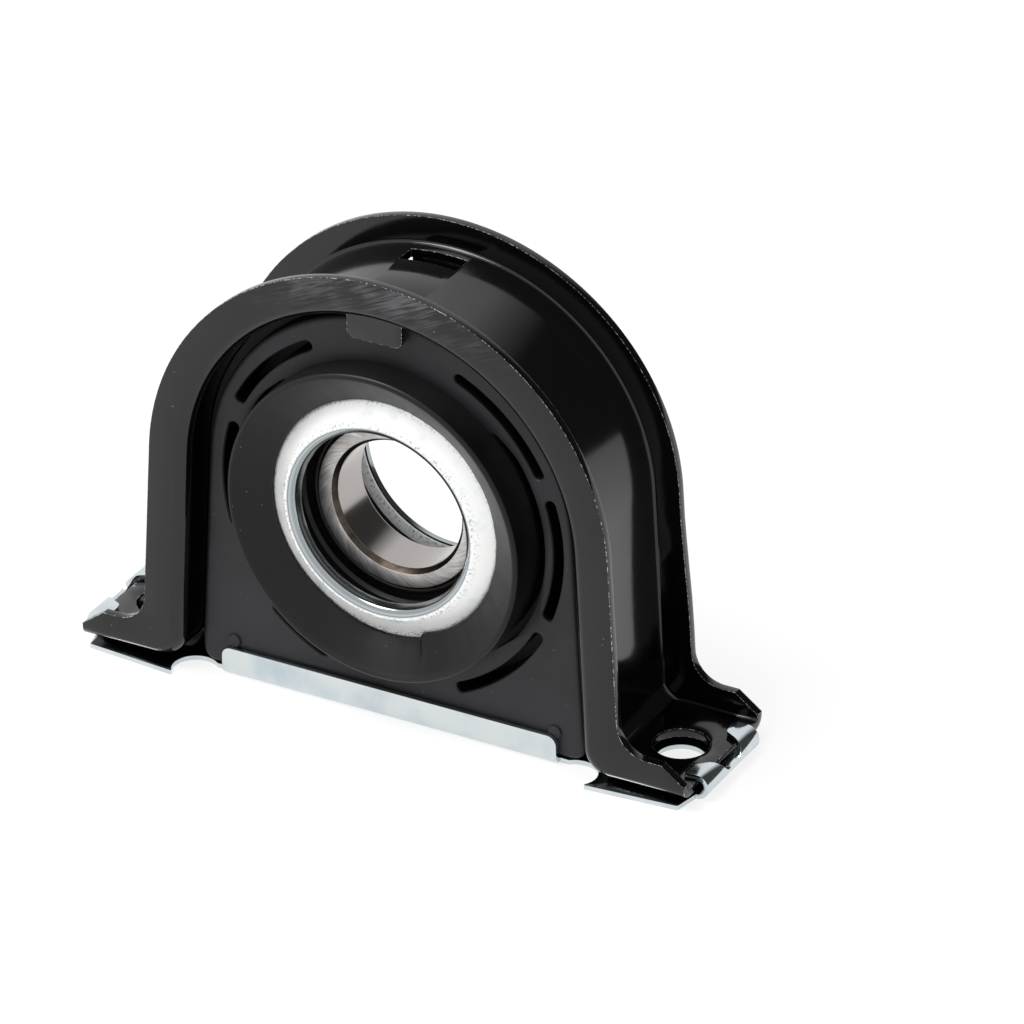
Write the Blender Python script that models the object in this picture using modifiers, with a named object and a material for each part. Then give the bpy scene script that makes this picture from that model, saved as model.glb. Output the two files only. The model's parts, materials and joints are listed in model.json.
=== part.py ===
"""Driveshaft centre bearing: a sealed ball bearing held by rubber in a pressed steel bracket.

The shaft runs along Y, the bracket's feet lie along X and the part stands on z = 0. Sizes are in
millimetres and MM turns them into metres. The front is at -Y, and the rear is built as the front.
"""

import math

import bmesh
import bpy
from mathutils import Matrix, Vector

MM = 0.001

# Shaft axis, and the gap that pieces keep where they touch
AXIS_HEIGHT = 74.0
SEAT_GAP = 0.3

# Bearing
BORE_RADIUS = 22.5
BORE_CHAMFER = 1.3
RING_WIDTH = 19.0
RING_CHAMFER = 0.9
BALL_RADIUS = 6.35
BALL_COUNT = 9
INNER_RING_WALL = 3.65
INNER_GROOVE_DEPTH = 2.55
OUTER_RING_WALL = 3.05
OUTER_GROOVE_DEPTH = 1.85
BEARING_SHIFT = -3.5
CAGE_STEEL = 0.8
CAGE_INNER_PLAY = 1.7
CAGE_OUTER_PLAY = 2.4
SEAL_RECESS = 0.5
SEAL_THICKNESS = 1.2
SEAL_STEP = 2.2
SEAL_CHAMFER = 1.0

# Retainer ring, one pressed half on each side
RETAINER_STEEL = 1.6
RETAINER_SHOULDER_DEPTH = 18.2
RETAINER_SHOULDER_FILLET = 3.6
RETAINER_SHOULDER_WIDTH = 3.4
RETAINER_FACE_DEPTH = 20.1
RETAINER_FACE_FILLET = 6.0
RETAINER_FACE_WIDTH = 7.6
RETAINER_RIM_DEPTH = 25.5
RETAINER_RIM_FILLET = 2.4
RETAINER_LIP_WIDTH = 3.9
RETAINER_LIP_DROP = 2.7

# Rubber cushion
CUSHION_SKIRT_DEPTH = 23.6
CUSHION_FACE_DEPTH = 36.4
CUSHION_FACE_INSET = 3.2
CUSHION_CORNER = 4.8
CUSHION_EDGE_ROUND = 1.9
FLASH_THICKNESS = 0.85
LAP_WIDTH = 3.1
BOSS_WALL = 6.6
BOSS_CREST_WIDTH = 1.5
BOSS_CREST_DEPTH = 28.3
BOSS_CREST_ROUND = 1.0
BOSS_FOOT_SPREAD = 2.1
BOSS_ROOT = 2.5
MOAT_WIDTH = 2.6
MOAT_FLOOR_DEPTH = 9.6
MOAT_HALF_ANGLE = 47.0
SLOT_BRIDGE = 4.9
SLOT_WIDTH = 3.4
SLOT_DROP = 0.4
SLOT_FLOOR_DEPTH = 4.3
SLOT_ANGLES = ((26.0, 64.0), (-23.0, 15.0), (-66.0, -30.0), (126.0, 154.0), (165.0, 203.0), (210.0, 246.0))

# Pressed steel bracket
BRACKET_STEEL = 3.0
BRACKET_DEPTH = 54.0
BRACKET_BEND = 4.3
ARCH_RISE = 3.1
ARCH_CLEARANCE = 8.5
FLANGE_WIDTH = 13.7
LEG_FLARE = 3.4
WEB_CORNER = 5.9
FLANGE_CORNER = 10.7
FOOT_FLANGE_HEIGHT = 11.0
FOOT_REACH = 40.8
TIP_LENGTH = 8.1
TIP_DROP = 6.0
BOLT_REACH = 25.9
BOLT_HOLE_RADIUS = 9.2
TAB_WIDTH = 19.7
TAB_LENGTH = 9.4
TAB_SIDE_SHIFT = -1.9
TAB_CORNER = 2.8
LANCE_LENGTH = 11.5

# Zinc plated base plate
PLATE_STEEL = 1.6
PLATE_TO_FOOT = 2.2
PLATE_HOLE_RADIUS = 8.0
LIP_TO_CUSHION = 1.1
LIP_BEND = 2.7
LIP_HEIGHT = 10.2
LIP_END_INSET = 8.0
LIP_CORNER = 3.2
RELIEF_RADIUS = 7.7
RELIEF_SHIFT = 0.3
RELIEF_SPREAD = 5.9
PAD_OVERHANG = 2.4
PAD_TAPER = 2.6
PAD_END_INSET = 2.4
ROLL_PLAY = 0.8
ROLL_OUTER_HALF = 17.7
ROLL_INNER_HALF = 11.0
ROLL_NOTCH_HALF = 3.4
ROLL_FLAT = 4.4
ROLL_CORNER = 1.5

# Facets
TURN_STEPS = 40
ARCH_STEPS = 32
LEG_STEPS = 3
CORNER_STEPS = 5
BEND_STEPS = 3
FILLET_STEPS = 2
SLOT_STEPS = 4
SLOT_FACET = 9.0
POCKET_STEPS = 5

# Sizes that follow from the ones above
HALF_DEPTH = BRACKET_DEPTH / 2
FOOT_Z = PLATE_STEEL + PLATE_TO_FOOT
FOOT_TOP = FOOT_Z + BRACKET_STEEL
ARCH_Z = AXIS_HEIGHT + ARCH_RISE
FLARE = math.radians(LEG_FLARE)
RACE_RADIUS = BALL_RADIUS + SEAT_GAP
PITCH_RADIUS = BORE_RADIUS + INNER_RING_WALL + RACE_RADIUS
INNER_SHOULDER_RADIUS = PITCH_RADIUS - RACE_RADIUS + INNER_GROOVE_DEPTH
OUTER_SHOULDER_RADIUS = PITCH_RADIUS + RACE_RADIUS - OUTER_GROOVE_DEPTH
OUTER_RING_RADIUS = PITCH_RADIUS + RACE_RADIUS + OUTER_RING_WALL
RETAINER_RADIUS = OUTER_RING_RADIUS + SEAT_GAP + RETAINER_STEEL
RETAINER_FACE_RADIUS = RETAINER_RADIUS - RETAINER_SHOULDER_WIDTH
RETAINER_RIM_RADIUS = RETAINER_FACE_RADIUS - RETAINER_FACE_WIDTH
RETAINER_LIP_RADIUS = RETAINER_RIM_RADIUS - RETAINER_LIP_WIDTH
CUSHION_BORE = RETAINER_RADIUS + SEAT_GAP
CUSHION_BASE = PLATE_STEEL + SEAT_GAP
FACE_DEPTH = CUSHION_FACE_DEPTH / 2
BOSS_CREST_RADIUS = RETAINER_RADIUS + BOSS_WALL
BOSS_FOOT_RADIUS = BOSS_CREST_RADIUS + BOSS_FOOT_SPREAD
SLOT_RADIUS = BOSS_FOOT_RADIUS + MOAT_WIDTH + SLOT_BRIDGE
ARCH_RADIUS = SLOT_RADIUS + ARCH_CLEARANCE
CUSHION_ARCH = ARCH_RADIUS - SEAT_GAP
FOOT_LENGTH = ARCH_RADIUS + FOOT_REACH
BOLT_X = ARCH_RADIUS + BOLT_REACH
LIP_HALF_LENGTH = ARCH_RADIUS - LIP_END_INSET
PLATE_NECK_HALF = FACE_DEPTH + LIP_TO_CUSHION + PLATE_STEEL - LIP_BEND
RELIEF_X = ARCH_RADIUS + RELIEF_SHIFT
RELIEF_Y = PLATE_NECK_HALF + RELIEF_SPREAD
PAD_INNER_HALF = HALF_DEPTH + PAD_OVERHANG
PAD_OUTER_HALF = PAD_INNER_HALF - PAD_TAPER
PAD_OUTER_X = FOOT_LENGTH - PAD_END_INSET

collection = bpy.data.collections.new("driveshaft_centre_bearing")
helpers = bpy.data.collections.new("cutters_and_tools")


def clear_scene():
    for obj in list(bpy.data.objects):
        bpy.data.objects.remove(obj, do_unlink=True)
    bpy.context.scene.collection.children.link(collection)
    bpy.context.scene.collection.children.link(helpers)


def material(name, colour, roughness, metallic):
    made = bpy.data.materials.new(name)
    made.use_nodes = True
    shader = made.node_tree.nodes["Principled BSDF"]
    shader.inputs["Base Color"].default_value = (*colour, 1.0)
    shader.inputs["Roughness"].default_value = roughness
    shader.inputs["Metallic"].default_value = metallic
    return made


def add_object(name, mesh, finish=None, smooth=30.0):
    """A finished piece where a finish is given, and otherwise a cutter or tool."""
    made = bpy.data.objects.new(name, mesh)
    if finish:
        collection.objects.link(made)
        mesh.materials.clear()
        mesh.materials.append(finish)
        mesh.shade_smooth()
        mesh.set_sharp_from_angle(angle=math.radians(smooth))
    else:
        helpers.objects.link(made)
        made.hide_render = True
        made.display_type = "WIRE"
    return made


def mesh_from(bm, name):
    mesh = bpy.data.meshes.new(name)
    bm.to_mesh(mesh)
    bm.free()
    return mesh


def boolean(target, tool, operation):
    step = target.modifiers.new(f"{operation.lower()} {tool.name}", "BOOLEAN")
    step.operation = operation
    step.object = tool
    step.solver = "EXACT"


def fillet(corners):
    """A polyline (u, v) from corners (u, v, radius), with an arc at each corner that has a radius."""
    line = []
    for index, (u, v, radius) in enumerate(corners):
        here = Vector((u, v))
        if radius <= 0 or index in (0, len(corners) - 1):
            line.append(here)
            continue
        back = (Vector(corners[index - 1][:2]) - here)
        ahead = (Vector(corners[index + 1][:2]) - here)
        half = back.angle(ahead) / 2
        reach = min(radius / math.tan(half), 0.45 * back.length, 0.45 * ahead.length)
        radius = reach * math.tan(half)
        middle = here + (back.normalized() + ahead.normalized()).normalized() * radius / math.sin(half)
        start = here + back.normalized() * reach - middle
        end = here + ahead.normalized() * reach - middle
        turn = start.angle_signed(end)
        for step in range(FILLET_STEPS + 1):
            angle = -turn * step / FILLET_STEPS
            line.append(middle + Matrix.Rotation(angle, 2) @ start)
    return line


def offset(line, distance):
    """The polyline moved sideways, to the left of its run, with mitred corners."""
    moved = []
    for index, here in enumerate(line):
        before = line[max(index - 1, 0)]
        after = line[min(index + 1, len(line) - 1)]
        first = (here - before if index else after - here).normalized()
        second = (after - here if index < len(line) - 1 else here - before).normalized()
        normal = Vector((-first.y, first.x)) + Vector((-second.y, second.x))
        normal.normalize()
        moved.append(here + normal * distance / max(normal.dot(Vector((-first.y, first.x))), 0.3))
    return moved


def turned(name, profile, finish=None, shift=0.0):
    """A closed profile (radius, distance along the shaft) turned about the shaft axis."""
    area = sum(a[0] * b[1] - b[0] * a[1] for a, b in zip(profile, profile[1:] + profile[:1]))
    if area > 0:
        profile = profile[::-1]
    bm = bmesh.new()
    points = [bm.verts.new((r * MM, 0, along * MM)) for r, along in profile]
    for start, end in zip(points, points[1:] + points[:1]):
        bm.edges.new((start, end))
    made = add_object(name, mesh_from(bm, name), finish)
    made.location = (0, shift * MM, AXIS_HEIGHT * MM)
    made.rotation_euler = (-math.pi / 2, 0, 0)
    screw = made.modifiers.new("turn", "SCREW")
    screw.steps = screw.render_steps = TURN_STEPS
    screw.use_merge_vertices = True
    screw.merge_threshold = 0.00001
    screw.use_smooth_shade = True
    return made


def prism(name, outline, low, high, finish=None):
    """A flat outline (x, z) extruded along Y, from low to high."""
    bm = bmesh.new()
    face = bm.faces.new([bm.verts.new((x * MM, low * MM, z * MM)) for x, z in outline])
    grown = bmesh.ops.extrude_face_region(bm, geom=[face])["geom"]
    moved = [item for item in grown if isinstance(item, bmesh.types.BMVert)]
    bmesh.ops.translate(bm, verts=moved, vec=(0, (high - low) * MM, 0))
    bmesh.ops.recalc_face_normals(bm, faces=bm.faces)
    return add_object(name, mesh_from(bm, name), finish)


def cylinder(name, middle, radius, length, turn=None):
    """A round cutter along Z, or as turned."""
    place = Matrix.Translation(Vector(middle) * MM)
    bm = bmesh.new()
    bmesh.ops.create_cone(
        bm,
        cap_ends=True,
        segments=TURN_STEPS // 2,
        radius1=radius * MM,
        radius2=radius * MM,
        depth=length * MM,
        matrix=place @ turn if turn else place,
    )
    return add_object(name, mesh_from(bm, name))


def box(name, low, high):
    bm = bmesh.new()
    bmesh.ops.create_cube(bm, size=1.0)
    size = Vector(high) - Vector(low)
    middle = (Vector(high) + Vector(low)) / 2
    place = Matrix.Translation(middle * MM) @ Matrix.Diagonal((*(size * MM), 1.0))
    bmesh.ops.transform(bm, matrix=place, verts=bm.verts)
    return add_object(name, mesh_from(bm, name))


def loft(name, sections, closed, finish=None):
    """Faces between sections of equally many points, with caps unless the loft closes on itself."""
    bm = bmesh.new()
    rings = [[bm.verts.new(Vector(point) * MM) for point in section] for section in sections]
    pairs = list(zip(rings, rings[1:] + rings[:1] if closed else rings[1:]))
    for ring, following in pairs:
        for index in range(len(ring)):
            other = (index + 1) % len(ring)
            bm.faces.new((ring[index], ring[other], following[other], following[index]))
    if not closed:
        bm.faces.new(rings[0])
        bm.faces.new(rings[-1][::-1])
    bmesh.ops.recalc_face_normals(bm, faces=bm.faces)
    return add_object(name, mesh_from(bm, name), finish)


# Bearing


def race(centre_radius, at_radius, side):
    """The groove's arc from one shoulder to the other, side +1 for the outer ring."""
    reach = math.acos(abs(at_radius - centre_radius) / RACE_RADIUS)
    steps = 2 * FILLET_STEPS
    arc = []
    for step in range(steps + 1):
        angle = reach * (1 - 2 * step / steps)
        arc.append((centre_radius + side * RACE_RADIUS * math.cos(angle), RACE_RADIUS * math.sin(angle)))
    return arc


def inner_ring(finish):
    half = RING_WIDTH / 2
    outside = [
        (INNER_SHOULDER_RADIUS - RING_CHAMFER / 3, half),
        (INNER_SHOULDER_RADIUS, half - RING_CHAMFER / 3),
    ]
    far_side = [(r, -along) for r, along in reversed(outside)]
    bore = [
        (BORE_RADIUS + BORE_CHAMFER, -half),
        (BORE_RADIUS, -half + BORE_CHAMFER),
        (BORE_RADIUS, half - BORE_CHAMFER),
        (BORE_RADIUS + BORE_CHAMFER, half),
    ]
    groove = race(PITCH_RADIUS, INNER_SHOULDER_RADIUS, -1)
    return turned("inner_ring", outside + groove + far_side + bore, finish, BEARING_SHIFT)


def outer_ring(finish):
    half = RING_WIDTH / 2
    outside = [
        (OUTER_RING_RADIUS - RING_CHAMFER, half),
        (OUTER_RING_RADIUS, half - RING_CHAMFER),
        (OUTER_RING_RADIUS, RING_CHAMFER - half),
        (OUTER_RING_RADIUS - RING_CHAMFER, -half),
    ]
    groove = race(PITCH_RADIUS, OUTER_SHOULDER_RADIUS, 1)
    inside = [(OUTER_SHOULDER_RADIUS, -half)] + groove[::-1] + [(OUTER_SHOULDER_RADIUS, half)]
    return turned("outer_ring", outside + inside, finish, BEARING_SHIFT)


def balls(finish):
    for number in range(BALL_COUNT):
        angle = 2 * math.pi * number / BALL_COUNT
        bm = bmesh.new()
        bmesh.ops.create_uvsphere(bm, u_segments=12, v_segments=8, radius=BALL_RADIUS * MM)
        made = add_object(f"ball_{number + 1:02d}", mesh_from(bm, "ball"), finish, 180.0)
        x = PITCH_RADIUS * math.sin(angle)
        z = AXIS_HEIGHT + PITCH_RADIUS * math.cos(angle)
        made.location = (x * MM, BEARING_SHIFT * MM, z * MM)


def cage_half(name, side, finish):
    """A pressed ribbon: flat between the balls, and a half round pocket over each ball."""
    flat = SEAT_GAP / 2
    inner = BALL_RADIUS + SEAT_GAP
    outer = inner + CAGE_STEEL
    edges = (INNER_SHOULDER_RADIUS + CAGE_INNER_PLAY, OUTER_SHOULDER_RADIUS - CAGE_OUTER_PLAY)
    pocket = math.asin(outer / PITCH_RADIUS)
    sections = []
    for number in range(BALL_COUNT):
        middle = 2 * math.pi * number / BALL_COUNT
        for step in range(2 * POCKET_STEPS + 1):
            turn = -math.pi / 2 + math.pi * step / (2 * POCKET_STEPS)
            swing = pocket * math.sin(turn)
            height = inner * math.cos(turn)
            low = max(flat, height)
            along = (low, max(flat + CAGE_STEEL, outer * math.cos(turn)))
            section = []
            for edge, which in ((0, 0), (1, 0), (1, 1), (0, 1)):
                r = edges[edge]
                bend = middle + swing * (inner / outer if which == 0 else 1.0)
                section.append(
                    (r * math.sin(bend), BEARING_SHIFT + side * along[which], AXIS_HEIGHT + r * math.cos(bend))
                )
            sections.append(section)
    return loft(name, sections, True, finish)


def seal(name, side, finish):
    """One moulding: a disc between the two rings, and packing between the outer ring and the retainer."""
    face = RING_WIDTH / 2 + side * BEARING_SHIFT
    step = OUTER_SHOULDER_RADIUS - SEAL_STEP
    packing = offset(retainer_line(), RETAINER_STEEL + SEAT_GAP)
    packing = [point for point in packing if point.x > step and point.y > face + SEAL_CHAMFER]
    front = face - SEAL_RECESS
    back = front - SEAL_THICKNESS
    lip = INNER_SHOULDER_RADIUS + SEAT_GAP
    rim = OUTER_SHOULDER_RADIUS - SEAT_GAP
    profile = [(lip, back), (rim, back), (rim, face + SEAT_GAP), (OUTER_RING_RADIUS, face + SEAT_GAP)]
    profile += [(point.x, point.y) for point in packing]
    profile += [(step, packing[-1].y - SEAL_CHAMFER), (step - SEAL_CHAMFER, front + SEAL_CHAMFER)]
    profile += [(step - 2 * SEAL_CHAMFER, front), (lip, front)]
    return turned(name, [(r, side * along) for r, along in profile], finish)


# Retainer ring


def retainer_line():
    """The outer surface of one pressed half, from the split line round the rim to the lip's end."""
    return fillet(
        (
            (RETAINER_RADIUS, SEAT_GAP / 2, 0),
            (RETAINER_RADIUS, RETAINER_SHOULDER_DEPTH, RETAINER_SHOULDER_FILLET),
            (RETAINER_FACE_RADIUS, RETAINER_FACE_DEPTH, RETAINER_FACE_FILLET),
            (RETAINER_RIM_RADIUS, RETAINER_RIM_DEPTH, RETAINER_RIM_FILLET),
            (RETAINER_LIP_RADIUS, RETAINER_RIM_DEPTH - RETAINER_LIP_DROP, 0),
        )
    )


def retainer(name, side, finish):
    outside = retainer_line()
    inside = offset(outside, RETAINER_STEEL)
    inside[0].y = outside[0].y
    loop = outside + inside[::-1]
    return turned(name, [(point.x, side * point.y) for point in loop], finish)


# Rubber cushion


def arch_outline(radius, base, corner):
    """An inverted U: an arch, legs that flare, and rounded lower corners."""
    points = []
    for step in range(ARCH_STEPS + 1):
        angle = math.pi - FLARE - (math.pi - 2 * FLARE) * step / ARCH_STEPS
        points.append((radius * math.cos(angle), ARCH_Z + radius * math.sin(angle)))
    start = Vector(points[-1])
    run = Vector((math.sin(FLARE), -math.cos(FLARE)))
    foot = start + run * (start.y - base) / math.cos(FLARE)
    right = fillet(((start.x, start.y, 0), (foot.x, foot.y, corner), (0, base, 0)))[1:-1]
    points += [(point.x, point.y) for point in right]
    points += [(-point.x, point.y) for point in reversed(right)]
    return points


def arc_slot(radius, width, start, end, drop):
    """The outline (x, z) of a slot that follows the shaft's axis, with round ends. Angles are in degrees."""
    low, high = math.radians(start), math.radians(end)
    steps = max(SLOT_STEPS, round((high - low) / math.radians(SLOT_FACET)))
    angles = [low + (high - low) * step / steps for step in range(steps + 1)]
    outer = [Vector((math.cos(angle), math.sin(angle))) * (radius + width / 2) for angle in angles]
    inner = [Vector((math.cos(angle), math.sin(angle))) * (radius - width / 2) for angle in reversed(angles)]
    ends = []
    for angle, first in ((high, high), (low, low - math.pi)):
        middle = Vector((math.cos(angle), math.sin(angle))) * radius
        turns = [first + math.pi * step / CORNER_STEPS for step in range(1, CORNER_STEPS)]
        ends.append([middle + Vector((math.cos(turn), math.sin(turn))) * width / 2 for turn in turns])
    outline = outer + ends[0] + inner + ends[1]
    return [(point.x, point.y + AXIS_HEIGHT - drop) for point in outline]


def boss_profile():
    """The rubber round the retainer: it laps the ring's face and stands out as a crest."""
    skin = offset(retainer_line(), -SEAT_GAP)
    edge = RETAINER_RADIUS - LAP_WIDTH
    lap = [point for point in skin if point.x > edge + FLASH_THICKNESS and point.y > FLASH_THICKNESS]
    edge_depth = RETAINER_FACE_DEPTH + SEAT_GAP
    slope = (BOSS_FOOT_RADIUS - BOSS_CREST_RADIUS) / (BOSS_CREST_DEPTH - FACE_DEPTH)
    root = FACE_DEPTH - BOSS_ROOT
    buried = BOSS_CREST_RADIUS + slope * (BOSS_CREST_DEPTH - root)
    front = [(point.x, point.y) for point in lap]
    front += [(edge, edge_depth), (edge + SEAT_GAP / 2, edge_depth + FLASH_THICKNESS)]
    crest = fillet(
        (
            (edge + SEAT_GAP, edge_depth + FLASH_THICKNESS, 0),
            (BOSS_CREST_RADIUS - BOSS_CREST_WIDTH, BOSS_CREST_DEPTH, BOSS_CREST_ROUND),
            (BOSS_CREST_RADIUS, BOSS_CREST_DEPTH, BOSS_CREST_ROUND),
            (buried, root, 0),
        )
    )
    front += [(point.x, point.y) for point in crest[1:]]
    rear = [(r, -depth) for r, depth in reversed(front)]
    return [(CUSHION_BORE, 0)] + front + rear


def cushion(finish):
    """One moulding: a skirt against the bracket, a raised face, a boss round the bearing, and slots."""
    half = CUSHION_SKIRT_DEPTH / 2
    made = prism("rubber_cushion", arch_outline(CUSHION_ARCH, CUSHION_BASE, CUSHION_CORNER), -half, half, finish)
    face_arch = CUSHION_ARCH - CUSHION_FACE_INSET
    face = arch_outline(face_arch, CUSHION_BASE, CUSHION_CORNER)
    plateau = prism("cushion_face", face, -FACE_DEPTH, FACE_DEPTH)
    round_edge = plateau.modifiers.new("round", "BEVEL")
    round_edge.width = CUSHION_EDGE_ROUND * MM
    round_edge.segments = 2
    round_edge.angle_limit = math.radians(60)
    boolean(made, plateau, "UNION")
    hole_radius = (CUSHION_BORE + BOSS_FOOT_RADIUS) / 2
    along = Matrix.Rotation(math.pi / 2, 4, "X")
    hole = cylinder("cushion_hole", (0, 0, AXIS_HEIGHT), hole_radius, 2 * CUSHION_FACE_DEPTH, along)
    boolean(made, hole, "DIFFERENCE")
    boolean(made, turned("cushion_boss", boss_profile()), "UNION")
    cuts = []
    for start, end in SLOT_ANGLES:
        cuts.append((arc_slot(SLOT_RADIUS, SLOT_WIDTH, start, end, SLOT_DROP), SLOT_FLOOR_DEPTH))
    moat_radius = BOSS_FOOT_RADIUS + MOAT_WIDTH / 2
    for middle in (0, 180):
        ends = (middle - MOAT_HALF_ANGLE, middle + MOAT_HALF_ANGLE)
        cuts.append((arc_slot(moat_radius, MOAT_WIDTH, *ends, 0), MOAT_FLOOR_DEPTH))
    bm = bmesh.new()
    for outline, floor in cuts:
        for side in (-1, 1):
            ends = sorted((side * floor, side * CUSHION_FACE_DEPTH))
            part = prism("slot", outline, *ends)
            bm.from_mesh(part.data)
            bpy.data.objects.remove(part, do_unlink=True)
    boolean(made, add_object("cushion_slots", mesh_from(bm, "cushion_slots")), "DIFFERENCE")
    return made


# Pressed steel bracket


def bracket_stations():
    """(web point, outward normal, flange edge) along the strap, from the top to the right foot's end."""
    centre = Vector((0, ARCH_Z))
    stations = []
    for step in range(ARCH_STEPS // 2 + 1):
        angle = math.pi / 2 - (math.pi / 2 - FLARE) * step / (ARCH_STEPS // 2)
        normal = Vector((math.cos(angle), math.sin(angle)))
        stations.append((centre + normal * ARCH_RADIUS, normal, centre + normal * (ARCH_RADIUS + FLANGE_WIDTH)))
    start, normal, edge = stations[-1]
    bend = WEB_CORNER + BRACKET_STEEL
    web_z = FOOT_Z + bend
    web_x = start.x + (bend + (start.y - web_z) * math.sin(FLARE)) / math.cos(FLARE)
    top = FOOT_Z + FOOT_FLANGE_HEIGHT
    edge_z = top + FLANGE_CORNER
    reach = FLANGE_WIDTH + FLANGE_CORNER
    edge_x = start.x + (reach + (start.y - edge_z) * math.sin(FLARE)) / math.cos(FLARE)
    corner = []
    for step in range(CORNER_STEPS + 1):
        angle = math.pi + FLARE + (math.pi / 2 - FLARE) * step / CORNER_STEPS
        way = Vector((math.cos(angle), math.sin(angle)))
        web = Vector((web_x, web_z)) + way * bend
        corner.append((web, -way, Vector((edge_x, edge_z)) + way * FLANGE_CORNER))
    for step in range(1, LEG_STEPS):
        share = step / LEG_STEPS
        web = start.lerp(corner[0][0], share)
        stations.append((web, normal, edge.lerp(corner[0][2], share)))
    stations += corner
    up = Vector((0, 1))
    tip = FOOT_LENGTH - TIP_LENGTH
    stations.append((Vector((tip, FOOT_Z)), up, Vector((tip, top))))
    stations.append((Vector((FOOT_LENGTH, FOOT_Z)), up, Vector((FOOT_LENGTH, top - TIP_DROP))))
    return stations


def bracket_section(web, normal, edge):
    """The channel's section: round the outside from edge to edge, and back along the inside."""
    inner_bend = BRACKET_BEND - BRACKET_STEEL
    outside = [(-HALF_DEPTH, None)]
    inside = [(-HALF_DEPTH + BRACKET_STEEL, None)]
    for step in range(BEND_STEPS + 1):
        angle = math.pi / 2 * step / BEND_STEPS
        across, deep = math.cos(angle), math.sin(angle)
        outside.append((-HALF_DEPTH + BRACKET_BEND * (1 - across), BRACKET_BEND * (1 - deep)))
        inside.append((-HALF_DEPTH + BRACKET_BEND - inner_bend * across, BRACKET_BEND - inner_bend * deep))
    outside += [(-y, rise) for y, rise in reversed(outside)]
    inside += [(-y, rise) for y, rise in reversed(inside)]
    section = []
    for y, rise in outside + inside[::-1]:
        place = edge if rise is None else web + normal * rise
        section.append((place.x, y, place.y))
    return section


def bracket(finish):
    right = [bracket_section(*station) for station in bracket_stations()]
    left = [[(-x, y, z) for x, y, z in section] for section in right[:0:-1]]
    made = loft("bracket", left + right, False, finish)
    tab_back = HALF_DEPTH - BRACKET_BEND
    tab_front = tab_back - BRACKET_STEEL
    tab_top = ARCH_Z + ARCH_RADIUS + BRACKET_STEEL * 0.4
    tab_foot = ARCH_Z + ARCH_RADIUS - TAB_LENGTH
    low, high = TAB_SIDE_SHIFT - TAB_WIDTH / 2, TAB_SIDE_SHIFT + TAB_WIDTH / 2
    tab = fillet(((low, tab_top, 0), (low, tab_foot, TAB_CORNER), (high, tab_foot, TAB_CORNER), (high, tab_top, 0)))
    tab = [(point.x, point.y) for point in tab]
    for side, label in ((-1, "front"), (1, "rear")):
        ends = sorted((side * tab_front, side * tab_back))
        boolean(made, prism(f"{label}_tab", tab, *ends), "UNION")
        near = tab_front - SEAT_GAP
        ends = sorted((side * near, side * (near - LANCE_LENGTH)))
        wide = low - SEAT_GAP, high + SEAT_GAP
        opening = box(f"{label}_lance", (wide[0], ends[0], ARCH_Z), (wide[1], ends[1], ARCH_Z + 2 * ARCH_RADIUS))
        boolean(made, opening, "DIFFERENCE")
    for side, label in ((-1, "left"), (1, "right")):
        x = side * BOLT_X
        hole = cylinder(f"{label}_bolt_hole", (x, 0, FOOT_TOP), BOLT_HOLE_RADIUS, 3 * FOOT_TOP)
        boolean(made, hole, "DIFFERENCE")
    return made


# Base plate


def plate_quarter():
    """The flat outline of one quarter, from the lip's end to the rolled tab's edge."""
    points = [(LIP_HALF_LENGTH, PLATE_NECK_HALF)]
    inner = math.asin((RELIEF_Y - PLATE_NECK_HALF) / RELIEF_RADIUS)
    outer = math.asin((RELIEF_Y - PAD_INNER_HALF) / RELIEF_RADIUS)
    steps = 2 * CORNER_STEPS
    for step in range(steps + 1):
        angle = math.pi - inner - (math.pi - inner - outer) * step / steps
        x = RELIEF_X + RELIEF_RADIUS * math.cos(angle)
        points.append((x, RELIEF_Y - RELIEF_RADIUS * math.sin(angle)))
    points += [(PAD_OUTER_X, PAD_OUTER_HALF), (roll_start(), ROLL_OUTER_HALF)]
    return points


def roll_radius():
    """The rolled tabs' outer radius: they go over the foot with the seat gap."""
    return (FOOT_TOP + SEAT_GAP + PLATE_STEEL) / 2


def roll_start():
    """Where the tabs start to turn up, so that the foot's end stays clear of them."""
    return FOOT_LENGTH + ROLL_PLAY - math.sqrt(SEAT_GAP * (FOOT_TOP - PLATE_STEEL))


def roll_rows(steps):
    """(x, rise, the notch's half width, the tabs' outer half width) round the roll, to its free edge."""
    start, radius = roll_start(), roll_radius()
    rows = []
    for step in range(1, steps + 1):
        angle = math.pi * step / steps
        rows.append((start + radius * math.sin(angle), radius * (1 - math.cos(angle))))
    rows += [(start - ROLL_FLAT + ROLL_CORNER, 2 * radius), (start - ROLL_FLAT, 2 * radius)]
    wall = math.pi / 2 * radius
    length = wall + ROLL_FLAT
    done = []
    for number, (x, rise) in enumerate(rows):
        along = math.pi * radius * (number + 1) / steps if number < steps else math.pi * radius + start - x
        share = min(max((along - wall) / length, 0.0), 1.0)
        notch = ROLL_NOTCH_HALF + (ROLL_INNER_HALF - ROLL_NOTCH_HALF) * math.sqrt(1 - (1 - share) ** 2)
        outer = ROLL_OUTER_HALF
        if number == len(rows) - 1:
            outer -= ROLL_CORNER
        done.append((x, rise, notch, outer))
    return done


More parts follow.
